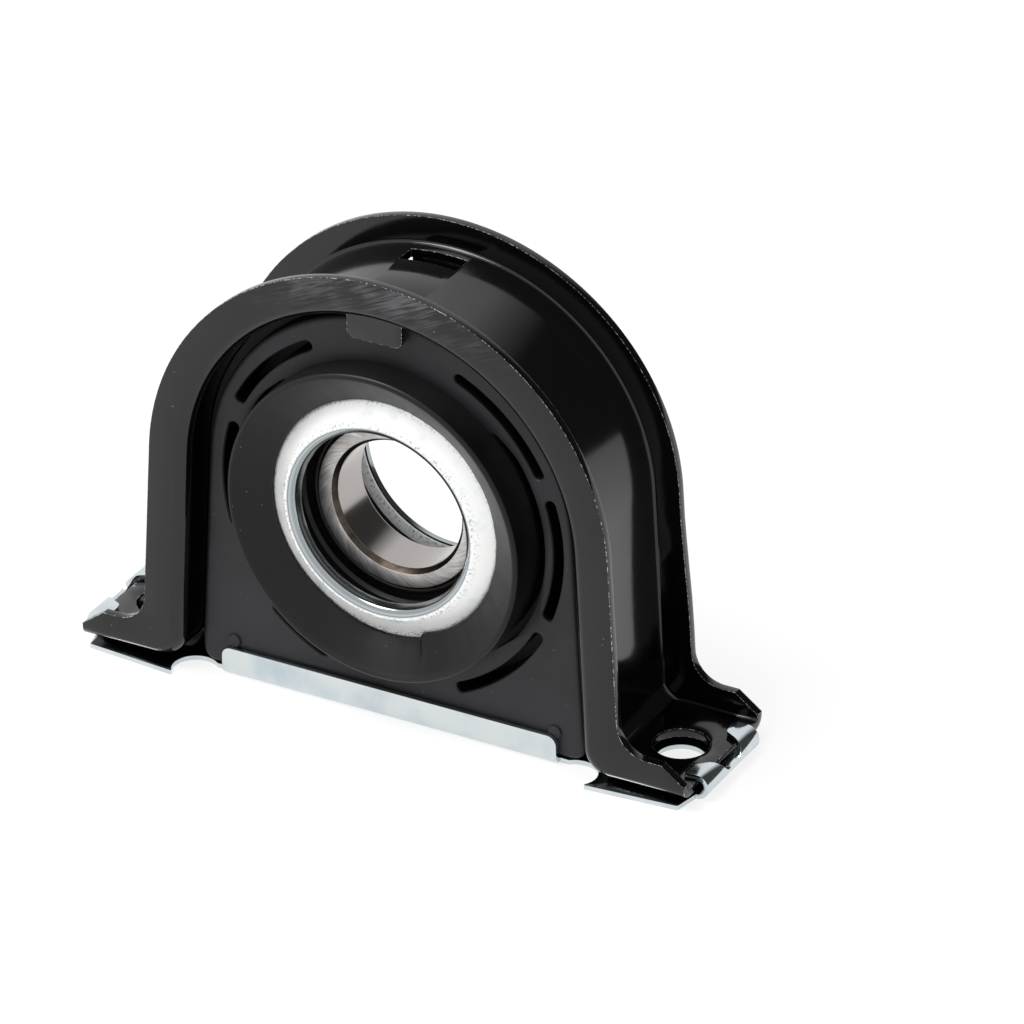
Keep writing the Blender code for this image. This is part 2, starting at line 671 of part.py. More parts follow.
def base_plate(finish):
    quarter = plate_quarter()
    start, radius = roll_start(), roll_radius()
    bm = bmesh.new()

    def vertex(x, y, z=0.0):
        return bm.verts.new((x * MM, y * MM, z * MM))

    def face(*corners):
        return bm.faces.new(corners)

    right_front = [vertex(x, -y) for x, y in quarter]
    right_rear = [vertex(x, y) for x, y in quarter]
    left_front = [vertex(-x, -y) for x, y in quarter]
    left_rear = [vertex(-x, y) for x, y in quarter]
    notches = {side: [vertex(side * start, y) for y in (-ROLL_NOTCH_HALF, ROLL_NOTCH_HALF)] for side in (-1, 1)}
    ring = right_front + notches[1] + right_rear[::-1]
    ring += left_rear + notches[-1][::-1] + left_front[::-1]
    face(*ring)
    for front, (left, right) in ((-1, (left_front[0], right_front[0])), (1, (left_rear[0], right_rear[0]))):
        rows = []
        for step in range(1, CORNER_STEPS):
            angle = math.pi / 2 * step / (CORNER_STEPS - 1)
            depth = PLATE_NECK_HALF + LIP_BEND * math.sin(angle)
            rows.append((LIP_HALF_LENGTH, depth, LIP_BEND * (1 - math.cos(angle))))
        for step in range(CORNER_STEPS):
            angle = math.pi / 2 * step / (CORNER_STEPS - 1)
            half = LIP_HALF_LENGTH - LIP_CORNER * (1 - math.cos(angle))
            rows.append((half, PLATE_NECK_HALF + LIP_BEND, LIP_HEIGHT - LIP_CORNER * (1 - math.sin(angle))))
        for half, depth, rise in rows:
            pair = vertex(-half, front * depth, rise), vertex(half, front * depth, rise)
            face(left, right, pair[1], pair[0])
            left, right = pair
    steps = 2 * CORNER_STEPS
    for side, ends in ((1, (right_front[-1], right_rear[-1])), (-1, (left_front[-1], left_rear[-1]))):
        row = [ends[0], *notches[side], ends[1]]
        for x, rise, notch, outer in roll_rows(steps):
            following = [vertex(side * x, y, rise) for y in (-outer, -notch, notch, outer)]
            for index in (0, 2):
                face(row[index], row[index + 1], following[index + 1], following[index])
            if rise <= radius:
                face(row[1], row[2], following[2], following[1])
            row = following
    bmesh.ops.recalc_face_normals(bm, faces=bm.faces)
    bm.faces.ensure_lookup_table()
    if bm.faces[0].normal.z > 0:
        bmesh.ops.reverse_faces(bm, faces=bm.faces)
    made = add_object("base_plate", mesh_from(bm, "base_plate"), finish)
    sheet = made.modifiers.new("sheet", "SOLIDIFY")
    sheet.thickness = PLATE_STEEL * MM
    sheet.offset = -1
    sheet.use_even_offset = True
    for side, label in ((-1, "left"), (1, "right")):
        x = side * BOLT_X
        hole = cylinder(f"{label}_plate_hole", (x, 0, PLATE_STEEL / 2), PLATE_HOLE_RADIUS, 3 * PLATE_STEEL)
        boolean(made, hole, "DIFFERENCE")
    return made


def main():
    clear_scene()
    black_paint = material("black_paint_on_steel", (0.012, 0.012, 0.012), 0.28, 0.0)
    zinc = material("zinc_plated_steel", (0.72, 0.74, 0.76), 0.25, 1.0)
    rubber = material("moulded_rubber", (0.02, 0.02, 0.021), 0.6, 0.0)
    ground = material("ground_bearing_steel", (0.5, 0.48, 0.46), 0.3, 1.0)
    seal_rubber = material("seal_rubber", (0.008, 0.008, 0.008), 0.45, 0.0)
    ball_steel = material("polished_ball_steel", (0.7, 0.7, 0.7), 0.08, 1.0)
    cage_steel = material("cage_steel", (0.45, 0.44, 0.42), 0.35, 1.0)
    bracket(black_paint)
    base_plate(zinc)
    cushion(rubber)
    retainer("retainer_front", -1, zinc)
    retainer("retainer_rear", 1, zinc)
    outer_ring(ground)
    inner_ring(ground)
    seal("front_seal", -1, seal_rubber)
    seal("rear_seal", 1, seal_rubber)
    cage_half("cage_front", -1, cage_steel)
    cage_half("cage_rear", 1, cage_steel)
    balls(ball_steel)


main()
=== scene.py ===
"""A driveshaft centre bearing on a plain white floor, dressed over its CAD frame.

Lengths are in millimetres and MM turns them into metres. The shaft runs along Y, with the front at
-Y, and the feet lie along X. A turned piece's profile is drawn as (radius, distance along Y).
"""

import json
import math

import bmesh
import bpy
from mathutils import Matrix, Vector, noise

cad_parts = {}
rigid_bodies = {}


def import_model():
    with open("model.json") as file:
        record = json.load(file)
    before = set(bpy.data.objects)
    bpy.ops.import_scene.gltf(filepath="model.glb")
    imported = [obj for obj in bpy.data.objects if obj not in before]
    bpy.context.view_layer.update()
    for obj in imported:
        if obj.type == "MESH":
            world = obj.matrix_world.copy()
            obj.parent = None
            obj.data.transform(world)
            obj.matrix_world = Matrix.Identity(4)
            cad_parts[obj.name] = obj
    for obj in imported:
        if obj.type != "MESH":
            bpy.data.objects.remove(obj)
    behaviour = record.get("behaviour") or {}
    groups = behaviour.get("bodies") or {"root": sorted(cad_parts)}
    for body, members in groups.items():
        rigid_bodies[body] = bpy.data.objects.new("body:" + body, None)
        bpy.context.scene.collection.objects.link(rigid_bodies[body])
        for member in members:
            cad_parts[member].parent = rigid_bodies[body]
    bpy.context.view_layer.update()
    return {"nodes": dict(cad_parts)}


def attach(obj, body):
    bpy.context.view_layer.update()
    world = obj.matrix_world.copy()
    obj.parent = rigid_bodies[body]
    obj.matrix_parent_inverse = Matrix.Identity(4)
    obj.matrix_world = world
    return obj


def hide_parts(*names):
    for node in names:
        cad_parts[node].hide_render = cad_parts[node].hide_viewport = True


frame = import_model()

MM = 0.001
AXIS_Z = 74.0
GAP = 0.3

# Bracket
ARCH_Z = 77.1
WEB_R = 69.1
FLANGE_WIDTH = 13.7
REAR_TRIM = 1.3
HALF_DEPTH = 27.0
FLARE = 3.4
STEEL = 3.0
BEND = 4.3
WEB_CORNER = 8.9
RIM_CORNER = 10.7
RIM_FOOT_Z = 14.8
FOOT_Z = 3.8
FOOT_TOP = FOOT_Z + STEEL
FOOT_X = 109.9
TIP = 8.1
TIP_DROP = 6.0
BOLT_X = 95.0
BOLT_R = 9.2
TAB_X = -1.9
TAB_WIDTH = 19.7
TAB_FOOT_Z = 136.8
LANCE = 7.5
LANCE_Y = 19.4
TAB_CORNER = 2.8
BURR = 0.38

# Base plate
PLATE = 1.6
NECK_Y = 18.2
LIP_BEND = 2.7
LIP_X = 61.1
LIP_Z = 10.2
RELIEF = (69.4, -24.1)
RELIEF_R = 7.7
PAD_Y = 29.4
ROLL_X = 109.44
ROLL_R = (FOOT_TOP + GAP + PLATE) / 2
ROLL_Y = 17.7
ROLL_FLAT = 4.4
NOTCH_Y = 3.4
NOTCH_TOP_Y = 11.0
PLATE_HOLE_R = 8.0

# Rubber
SKIRT_Y = 11.8
FACE_Y = 18.2
CUSHION_R = WEB_R - GAP
CUSHION_BASE = PLATE + GAP
CUSHION_CORNER = 4.8
CUSHION_HOLE_R = 48.9
BOSS_INNER_R = 44.7
BOSS_FOOT_R = 53.1
SLOT_R = 60.6
# Each slot's start and end in degrees, and how far its middle lies right of the axis and below it
SLOTS = (
    (28, 65, 0, 0.4),
    (-20.5, 17.5, 0, 0.4),
    (-65, -29, 0, 1.5),
    (118.5, 152, 0, 0.4),
    (163.5, 196, 1.8, 0.4),
    (227, 246, 0, 1.5),
)

# Bearing and retainer
RETAINER_R = 44.4
SHEET = 1.6
BEARING_Y = -3.5
RING_HALF = 9.5
BORE_R = 22.5
LAND_R = 28.7
PITCH_R = 32.8
BALL_R = 6.35
GROOVE_R = BALL_R + GAP


# Camera, where the photograph was taken from


def set_up_camera():
    turn, rise, roll = 0.499483, 0.512374, -0.0046233
    away = Vector((math.sin(turn) * math.cos(rise), -math.cos(turn) * math.cos(rise), math.sin(rise)))
    level = Vector((math.cos(turn), math.sin(turn), 0))
    upright = away.cross(level)
    side = math.cos(roll) * level + math.sin(roll) * upright
    top = math.cos(roll) * upright - math.sin(roll) * level
    camera = bpy.data.objects.new("camera", bpy.data.cameras.new("camera"))
    bpy.context.scene.collection.objects.link(camera)
    camera.matrix_world = Matrix((side, top, away)).transposed().to_4x4()
    camera.location = (Vector((34.351, 0, 74.812)) + away * 2539.093) * MM
    camera.data.lens = 8047.396 / 1024 * 36
    camera.data.clip_start = 0.1
    camera.data.clip_end = 20
    bpy.context.scene.camera = camera


# Drawing and shaping, as by hand


def object_mode():
    if bpy.context.mode != "OBJECT":
        bpy.ops.object.mode_set(mode="OBJECT")
    bpy.ops.object.select_all(action="DESELECT")


def edit(piece):
    object_mode()
    bpy.context.view_layer.objects.active = piece
    piece.select_set(True)
    bpy.ops.object.mode_set(mode="EDIT")
    bpy.ops.mesh.select_all(action="DESELECT")


def new_mesh(name, *materials):
    """An empty mesh object at the origin, in edit mode."""
    object_mode()
    bpy.ops.mesh.primitive_plane_add(size=MM, location=(0, 0, 0))
    piece = bpy.context.object
    piece.name = piece.data.name = name
    for material in materials:
        piece.data.materials.append(material)
    edit(piece)
    bpy.ops.mesh.select_all(action="SELECT")
    bpy.ops.mesh.delete(type="VERT")
    return piece


class Pen:
    """Draws edges in the mesh being edited: each stroke pulls the selected point on."""

    def __init__(self, x, y, z):
        bpy.ops.mesh.select_mode(type="VERT")
        bpy.ops.mesh.select_all(action="DESELECT")
        bpy.ops.mesh.primitive_plane_add(size=MM, location=(0, 0, 0))
        bpy.ops.mesh.merge(type="CENTER")
        self.at = Vector((x, y, z))
        bpy.ops.transform.translate(value=self.at * MM)

    def to(self, point, steps=1):
        step = (Vector(point) - self.at) / steps
        if step.length > 1e-4:
            for _ in range(steps):
                bpy.ops.mesh.extrude_region_move(TRANSFORM_OT_translate={"value": step * MM})
        self.at = Vector(point)
        return self

    def around(self, middle, degrees, steps, line=(0, 1, 0)):
        """An arc. Round the Y axis, positive degrees run anticlockwise as seen from the front."""
        middle, line = Vector(middle), Vector(line)
        bpy.ops.mesh.spin(steps=steps, angle=math.radians(degrees), center=middle * MM, axis=line)
        self.at = middle + Matrix.Rotation(-math.radians(degrees), 3, line) @ (self.at - middle)
        return self

    def through(self, *corners, steps=6):
        """Straight runs from here through the corners (x, y, z, radius), each rounded to its radius."""
        for index, (*point, radius) in enumerate(corners):
            point = Vector(point)
            if not radius:
                self.to(point)
                continue
            back = (self.at - point).normalized()
            ahead = (Vector(corners[index + 1][:3]) - point).normalized()
            half = back.angle(ahead) / 2
            reach = radius / math.tan(half)
            middle = point + (back + ahead).normalized() * radius / math.sin(half)
            self.to(point + back * reach)
            start, end = self.at - middle, point + ahead * reach - middle
            self.around(middle, math.degrees(start.angle(end)), steps, end.cross(start).normalized())
        return self


def pick(piece, kind, test):
    """Selects the verts, edges or faces whose points all pass the test, in mm."""
    bpy.ops.mesh.select_mode(type={"verts": "VERT", "edges": "EDGE", "faces": "FACE"}[kind])
    bpy.ops.mesh.select_all(action="DESELECT")
    bm = bmesh.from_edit_mesh(piece.data)
    for item in getattr(bm, kind):
        points = [item.co] if kind == "verts" else [vert.co for vert in item.verts]
        if all(test(point / MM) for point in points):
            item.select_set(True)
    bm.select_flush_mode()
    bmesh.update_edit_mesh(piece.data)


def tool(piece, kind, **settings):
    """Adds a modifier and applies it."""
    object_mode()
    bpy.context.view_layer.objects.active = piece
    piece.select_set(True)
    step = piece.modifiers.new(kind.lower(), kind)
    for name, value in settings.items():
        setattr(step, name, value)
    bpy.ops.object.modifier_apply(modifier=step.name)


def cut(piece, cutter, operation="DIFFERENCE"):
    tool(piece, "BOOLEAN", object=cutter, operation=operation, solver="EXACT")
    bpy.data.objects.remove(cutter, do_unlink=True)


def ease_edges(piece, width, segments=2, material=-1):
    """Breaks the edges sharper than 50 degrees with a small round."""
    limits = {"limit_method": "ANGLE", "angle_limit": math.radians(50)}
    tool(piece, "BEVEL", width=width * MM, segments=segments, material=material, **limits)


def bar(name, centre, radius, length, axis="Z", sides=96):
    """A round bar along an axis, to cut or join with."""
    turns = {"Z": (0, 0, 0), "Y": (math.pi / 2, 0, 0)}
    object_mode()
    bpy.ops.mesh.primitive_cone_add(
        vertices=sides,
        radius1=radius * MM,
        radius2=radius * MM,
        depth=length * MM,
        location=Vector(centre) * MM,
        rotation=turns[axis],
    )
    piece = bpy.context.object
    piece.name = piece.data.name = name
    bpy.ops.object.transform_apply(location=True, rotation=True, scale=True)
    return piece


def block(name, low, high):
    """A box between two corners, to shape, cut or join with."""
    object_mode()
    low, high = Vector(low), Vector(high)
    bpy.ops.mesh.primitive_cube_add(size=1, location=(low + high) / 2 * MM, scale=(high - low) * MM)
    piece = bpy.context.object
    piece.name = piece.data.name = name
    bpy.ops.object.transform_apply(location=True, rotation=True, scale=True)
    return piece


def fix_normals(piece):
    edit(piece)
    bpy.ops.mesh.select_all(action="SELECT")
    bpy.ops.mesh.remove_doubles(threshold=0.01 * MM)
    bpy.ops.mesh.normals_make_consistent(inside=False)
    object_mode()


def thicken(piece, thickness):
    """Gives a sheet its thickness, inwards from the surface whose normals face out."""
    tool(piece, "SOLIDIFY", thickness=thickness * MM, offset=-1.0, use_even_offset=True)
    fix_normals(piece)


def face_out(piece, out):
    """Flips an open sheet if the face furthest along the direction doesn't look that way."""
    far = max(piece.data.polygons, key=lambda face: face.center.dot(Vector(out)) + face.area)
    if far.normal.dot(Vector(out)) < 0:
        piece.data.flip_normals()


def turned(name, materials, *points, steps=160, rounds=6, closed=True):
    """A profile through (radius, along, corner radius), spun once round the shaft."""
    piece = new_mesh(name, *materials)
    start = points[0]
    run = [(r, along, AXIS_Z, corner) for r, along, corner in points[1:]]
    if closed:
        run.append((start[0], start[1], AXIS_Z, 0))
    Pen(start[0], start[1], AXIS_Z).through(*run, steps=rounds)
    bpy.ops.mesh.select_all(action="SELECT")
    bpy.ops.mesh.spin(steps=steps, angle=2 * math.pi, center=(0, 0, AXIS_Z * MM), axis=(0, 1, 0))
    fix_normals(piece)
    return piece


def from_axis(point):
    """A point's distance from the shaft's axis."""
    return math.hypot(point.x, point.z - AXIS_Z)


def ramp(value, start, end):
    """0 up to the start, 1 from the end on, and even in between."""
    return min(max((value - start) / (end - start), 0.0), 1.0)


def rear_copy(piece, name):
    """The rear piece: the front one mirrored across the middle plane."""
    made = piece.copy()
    made.data = piece.data.copy()
    made.name = made.data.name = name
    bpy.context.scene.collection.objects.link(made)
    made.data.transform(Matrix.Diagonal((1, -1, 1, 1)))
    made.data.flip_normals()
    return made


def finish(piece, body, slot, *nodes, smooth=32):
    """Smooths the piece and puts it on its body, in place of its CAD nodes."""
    object_mode()
    bpy.context.view_layer.objects.active = piece
    piece.select_set(True)
    bpy.ops.object.shade_smooth_by_angle(angle=math.radians(smooth))
    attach(piece, body)
    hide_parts(*nodes)


# Materials


def colour(hex_code):
    """An sRGB hex colour as linear values."""
    parts = [int(hex_code[at : at + 2], 16) / 255 for at in (1, 3, 5)]
    return [*(part / 12.92 if part <= 0.04045 else ((part + 0.055) / 1.055) ** 2.4 for part in parts), 1.0]


def new_material(name, base, roughness, metallic=0.0):
    material = bpy.data.materials.new(name)
    material.use_nodes = True
    skin = material.node_tree.nodes["Principled BSDF"]
    skin.inputs["Base Color"].default_value = colour(base)
    skin.inputs["Roughness"].default_value = roughness
    skin.inputs["Metallic"].default_value = metallic
    return material, skin


def add(tree, kind, inputs=None, stops=None, **settings):
    """A node with its settings, its inputs as values or sockets, and a ramp's stops as (place, hex)."""
    node = tree.nodes.new(kind)
    for name, value in settings.items():
        setattr(node, name, value)
    for key, value in (inputs or {}).items():
        if isinstance(value, bpy.types.NodeSocket):
            tree.links.new(value, node.inputs[key])
        else:
            node.inputs[key].default_value = value
    if stops:
        band = node.color_ramp
        band.elements.remove(band.elements[-1])
        band.elements[0].position, band.elements[0].color = stops[0][0], colour(stops[0][1])
        for place, shade in stops[1:]:
            band.elements.new(place).color = colour(shade)
    return node


def per_mm(size):
    """A texture scale whose features are about so many millimetres across."""
    return 1 / (size * MM)


def mottle(tree, place, size, detail):
    """Soft noise, whose patches are about so many millimetres across."""
    inputs = {"Vector": place, "Scale": per_mm(size), "Detail": detail}
    return add(tree, "ShaderNodeTexNoise", inputs).outputs["Fac"]


def from_shaft(tree, place, side=1):
    """The way out from the shaft's axis, in metres, and its length. A side of -1 swaps left and right."""
    level = {0: place, "Location": (0, 0, -AXIS_Z * MM), "Scale": (side, 0, 1)}
    spoke = add(tree, "ShaderNodeMapping", level).outputs[0]
    return spoke, add(tree, "ShaderNodeVectorMath", {0: spoke}, operation="LENGTH").outputs["Value"]


def dip_painted_steel():
    """Black dip paint on pressed steel: a wet looking film, rubbed dull on the outer flange faces, where it
    has picked up pale specks and is scuffed grey at the top."""
    material, skin = new_material("dip_painted_steel", "#050506", 0.12)
    tree = material.node_tree
    place = add(tree, "ShaderNodeTexCoord").outputs["Object"]
    at = add(tree, "ShaderNodeSeparateXYZ", {0: place}).outputs
    facing = add(tree, "ShaderNodeNewGeometry").outputs["Normal"]
    across = add(tree, "ShaderNodeSeparateXYZ", {0: facing}).outputs["Y"]
    flat = add(tree, "ShaderNodeMath", {0: across}, operation="ABSOLUTE").outputs[0]
    flat = add(tree, "ShaderNodeMapRange", {0: flat, 1: 0.9, 2: 0.99}).outputs[0]
    depth = add(tree, "ShaderNodeMath", {0: at["Y"]}, operation="ABSOLUTE").outputs[0]
    outside = add(tree, "ShaderNodeMapRange", {0: depth, 1: 0.0262, 2: 0.0266}).outputs[0]
    rubbed = add(tree, "ShaderNodeMath", {0: flat, 1: outside}, operation="MULTIPLY").outputs[0]
    cloud = mottle(tree, place, 28, 5)
    gloss = add(tree, "ShaderNodeMapRange", {0: cloud, 1: 0.3, 2: 0.7, 3: 0.08, 4: 0.15}).outputs[0]
    dull = add(tree, "ShaderNodeMapRange", {0: cloud, 1: 0.3, 2: 0.7, 3: 0.36, 4: 0.5}).outputs[0]
    rough = add(tree, "ShaderNodeMix", {0: rubbed, 2: gloss, 3: dull}).outputs[0]
    tree.links.new(rough, skin.inputs["Roughness"])
    lean = {0: place, "Rotation": (0, math.radians(-25), 0), "Scale": (14, 14, 1)}
    strokes = add(tree, "ShaderNodeMapping", lean, vector_type="TEXTURE").outputs[0]
    brush = mottle(tree, strokes, 0.7, 4)
    patch = mottle(tree, place, 16, 3)
    high = add(tree, "ShaderNodeMapRange", {0: at["Z"], 1: 0.141, 2: 0.156}).outputs[0]
    worn = add(tree, "ShaderNodeMath", {0: patch, 1: brush}, operation="MULTIPLY").outputs[0]
    worn = add(tree, "ShaderNodeMapRange", {0: worn, 1: 0.22, 2: 0.42}).outputs[0]
    worn = add(tree, "ShaderNodeMath", {0: worn, 1: high}, operation="MULTIPLY").outputs[0]
    worn = add(tree, "ShaderNodeMath", {0: worn, 1: rubbed}, operation="MULTIPLY").outputs[0]
    shades = {6: colour("#050506"), 7: colour("#4d4d51")}
    grey = add(tree, "ShaderNodeMix", {0: worn, **shades}, data_type="RGBA").outputs[2]
    grain = add(tree, "ShaderNodeTexVoronoi", {"Vector": place, "Scale": per_mm(6)}).outputs["Distance"]
    speck = add(tree, "ShaderNodeMapRange", {0: grain, 1: 0.04, 2: 0.02}).outputs[0]
    speck = add(tree, "ShaderNodeMath", {0: speck, 1: rubbed}, operation="MULTIPLY").outputs[0]
    tint = add(tree, "ShaderNodeMix", {0: speck, 6: grey, 7: colour("#8a8a8c")}, data_type="RGBA").outputs[2]
    tree.links.new(tint, skin.inputs["Base Color"])
    peel = mottle(tree, place, 2.6, 2)
    bump = add(tree, "ShaderNodeBump", {"Strength": 0.1, "Distance": 0.0001, "Height": peel}).outputs[0]
    tree.links.new(bump, skin.inputs["Normal"])
    return material


def sheared_edge():
    """The strap's sheared edge under thin paint: torn, with bare steel glinting through in flecks."""
    material, skin = new_material("sheared_edge_paint", "#101010", 0.28)
    tree = material.node_tree
    place = add(tree, "ShaderNodeTexCoord").outputs["Object"]
    torn = mottle(tree, place, 0.8, 3)
    fleck = add(tree, "ShaderNodeMapRange", {0: torn, 1: 0.5, 2: 0.6}).outputs[0]
    tint = add(tree, "ShaderNodeValToRGB", {0: fleck}, stops=[(0, "#0d0d0e"), (1, "#c9c9cb")]).outputs[0]
    tree.links.new(tint, skin.inputs["Base Color"])
    tree.links.new(fleck, skin.inputs["Metallic"])
    bump = add(tree, "ShaderNodeBump", {"Strength": 0.7, "Distance": 0.0003, "Height": torn}).outputs[0]
    tree.links.new(bump, skin.inputs["Normal"])
    return material


def bright_zinc():
    """Bright zinc plating on rolled sheet: a mirror like, pale blue white metal, slightly clouded."""
    material, skin = new_material("bright_zinc_plating", "#e3e9ec", 0.14, 1.0)
    tree = material.node_tree
    place = add(tree, "ShaderNodeTexCoord").outputs["Object"]
    cloud = mottle(tree, place, 14, 5)
    stops = [(0.3, "#bfcad0"), (0.55, "#d3dadc"), (0.75, "#dbdcd9")]
    tint = add(tree, "ShaderNodeValToRGB", {0: cloud}, stops=stops).outputs[0]
    tree.links.new(tint, skin.inputs["Base Color"])
    gloss = add(tree, "ShaderNodeMapRange", {0: cloud, 1: 0.3, 2: 0.7, 3: 0.1, 4: 0.2}).outputs[0]
    tree.links.new(gloss, skin.inputs["Roughness"])
    return material


def hazy_zinc():
    """Zinc plating on the deep drawn retainer: satin under a thin white haze, as it was stretched in the
    press, burnished where its rim is curled, with darker and lighter grey rings painted there as shade and
    highlight, and patches of painted shade beside its edges."""
    material, skin = new_material("satin_zinc_plating", "#f3f4f4", 0.36, 0.42)
    tree = material.node_tree
    place = add(tree, "ShaderNodeTexCoord").outputs["Object"]
    radius = from_shaft(tree, place)[1]
    face = add(tree, "ShaderNodeMapRange", {0: radius, 1: 0.0331, 2: 0.0336}).outputs[0]
    # Painted shade and highlight: darker and lighter grey rings across the curled rim stand in for its
    # rounded shading.
    inward = add(tree, "ShaderNodeMapRange", {0: radius, 1: 0.030, 2: 0.0336}).outputs[0]
    stops = [(0, "#b4babc"), (0.5, "#969d9f"), (0.72, "#bfc4c6"), (0.8, "#838a8c"), (0.9, "#cdd2d3")]
    curl = add(tree, "ShaderNodeValToRGB", {0: inward}, stops=stops).outputs[0]
    cloud = mottle(tree, place, 7, 6)
    stops = [(0.3, "#e9edee"), (0.45, "#fafbfb"), (0.7, "#fbfaf8")]
    haze = add(tree, "ShaderNodeValToRGB", {0: cloud}, stops=stops).outputs[0]
    # Painted shade: noisy patches of darker grey-green beside the curled rim and just inside the rubber's
    # lap.
    shade_speckle = mottle(tree, place, 0.9, 4)
    bend = add(tree, "ShaderNodeMapRange", {0: radius, 1: 0.0336, 2: 0.0362, 3: 1.0, 4: 0.0}).outputs[0]
    brim = add(tree, "ShaderNodeMapRange", {0: radius, 1: 0.0392, 2: 0.0408}).outputs[0]
    shade_band = add(tree, "ShaderNodeMath", {0: bend, 1: brim}, operation="MAXIMUM").outputs[0]
    patchy_shade = add(tree, "ShaderNodeMapRange", {0: shade_speckle, 1: 0.52, 2: 0.62, 4: 0.8}).outputs[0]
    patchy_shade = add(tree, "ShaderNodeMath", {0: patchy_shade, 1: shade_band}, operation="MULTIPLY").outputs[0]
    haze = add(tree, "ShaderNodeMix", {0: patchy_shade, 6: haze, 7: colour("#8d9597")}, data_type="RGBA").outputs[2]
    tint = add(tree, "ShaderNodeMix", {0: face, 6: curl, 7: haze}, data_type="RGBA").outputs[2]
    tree.links.new(tint, skin.inputs["Base Color"])
    metal = add(tree, "ShaderNodeMapRange", {0: face, 3: 1.0, 4: 0.42}).outputs[0]
    tree.links.new(metal, skin.inputs["Metallic"])
    satin = add(tree, "ShaderNodeMapRange", {0: cloud, 1: 0.3, 2: 0.7, 3: 0.28, 4: 0.4}).outputs[0]
    gloss = add(tree, "ShaderNodeMix", {0: face, 2: 0.16, 3: satin}).outputs[0]
    tree.links.new(gloss, skin.inputs["Roughness"])
    return material


def moulded_rubber():
    """Natural rubber from a steel mould: dark grey with a faint bloom and specks of dust on the face, darker
    on the boss and smoother there, where the mould is polished, and painted near black in the recesses as
    their shade."""
    material, skin = new_material("moulded_natural_rubber", "#1c1c1e", 0.5)
    skin.inputs["Specular IOR Level"].default_value = 0.28
    tree = material.node_tree
    place = add(tree, "ShaderNodeTexCoord").outputs["Object"]
    radius = from_shaft(tree, place)[1]
    outer = add(tree, "ShaderNodeMapRange", {0: radius, 1: 0.0515, 2: 0.057}).outputs[0]
    bloom = mottle(tree, place, 22, 6)
    face = add(tree, "ShaderNodeValToRGB", {0: bloom}, stops=[(0.3, "#1f1f21"), (0.7, "#2d2d30")]).outputs[0]
    # Darker grey on the boss than on the face.
    boss = add(tree, "ShaderNodeValToRGB", {0: bloom}, stops=[(0.3, "#060607"), (0.7, "#0b0b0c")]).outputs[0]
    tint = add(tree, "ShaderNodeMix", {0: outer, 6: boss, 7: face}, data_type="RGBA").outputs[2]
    # Painted shade: whatever lies deeper than the face, such as the walls and floors of the moats and slots,
    # is painted near black.
    depth = add(tree, "ShaderNodeSeparateXYZ", {0: place}).outputs["Y"]
    depth = add(tree, "ShaderNodeMath", {0: depth}, operation="ABSOLUTE").outputs[0]
    recess_shade = add(tree, "ShaderNodeMapRange", {0: depth, 1: 0.0165, 2: 0.018}).outputs[0]
    tint = add(tree, "ShaderNodeMix", {0: recess_shade, 6: colour("#040405"), 7: tint}, data_type="RGBA").outputs[2]
    speck = add(tree, "ShaderNodeTexVoronoi", {"Vector": place, "Scale": per_mm(5.5)}).outputs["Distance"]
    dust = add(tree, "ShaderNodeMapRange", {0: speck, 1: 0.035, 2: 0.02}).outputs[0]
    dusty = add(tree, "ShaderNodeMix", {0: dust, 6: tint, 7: colour("#77777a")}, data_type="RGBA").outputs[2]
    tree.links.new(dusty, skin.inputs["Base Color"])
    gloss = add(tree, "ShaderNodeMapRange", {0: bloom, 1: 0.3, 2: 0.7, 3: 0.42, 4: 0.58}).outputs[0]
    smooth = add(tree, "ShaderNodeMapRange", {0: bloom, 1: 0.3, 2: 0.7, 3: 0.3, 4: 0.42}).outputs[0]
    rough = add(tree, "ShaderNodeMix", {0: outer, 2: smooth, 3: gloss}).outputs[0]
    tree.links.new(rough, skin.inputs["Roughness"])
    grain = mottle(tree, place, 0.8, 3)
    bump = add(tree, "ShaderNodeBump", {"Strength": 0.1, "Distance": 0.0001, "Height": grain}).outputs[0]
    tree.links.new(bump, skin.inputs["Normal"])
    return material


def seal_rubber():
    """Nitrile rubber of the bearing's seals: black and slightly greasy, so half glossy."""
    material, skin = new_material("nitrile_seal_rubber", "#030303", 0.45)
    skin.inputs["Specular IOR Level"].default_value = 0.25
    tree = material.node_tree
    place = add(tree, "ShaderNodeTexCoord").outputs["Object"]
    grease = mottle(tree, place, 9, 4)
    gloss = add(tree, "ShaderNodeMapRange", {0: grease, 1: 0.35, 2: 0.65, 3: 0.36, 4: 0.55}).outputs[0]
    tree.links.new(gloss, skin.inputs["Roughness"])
    return material


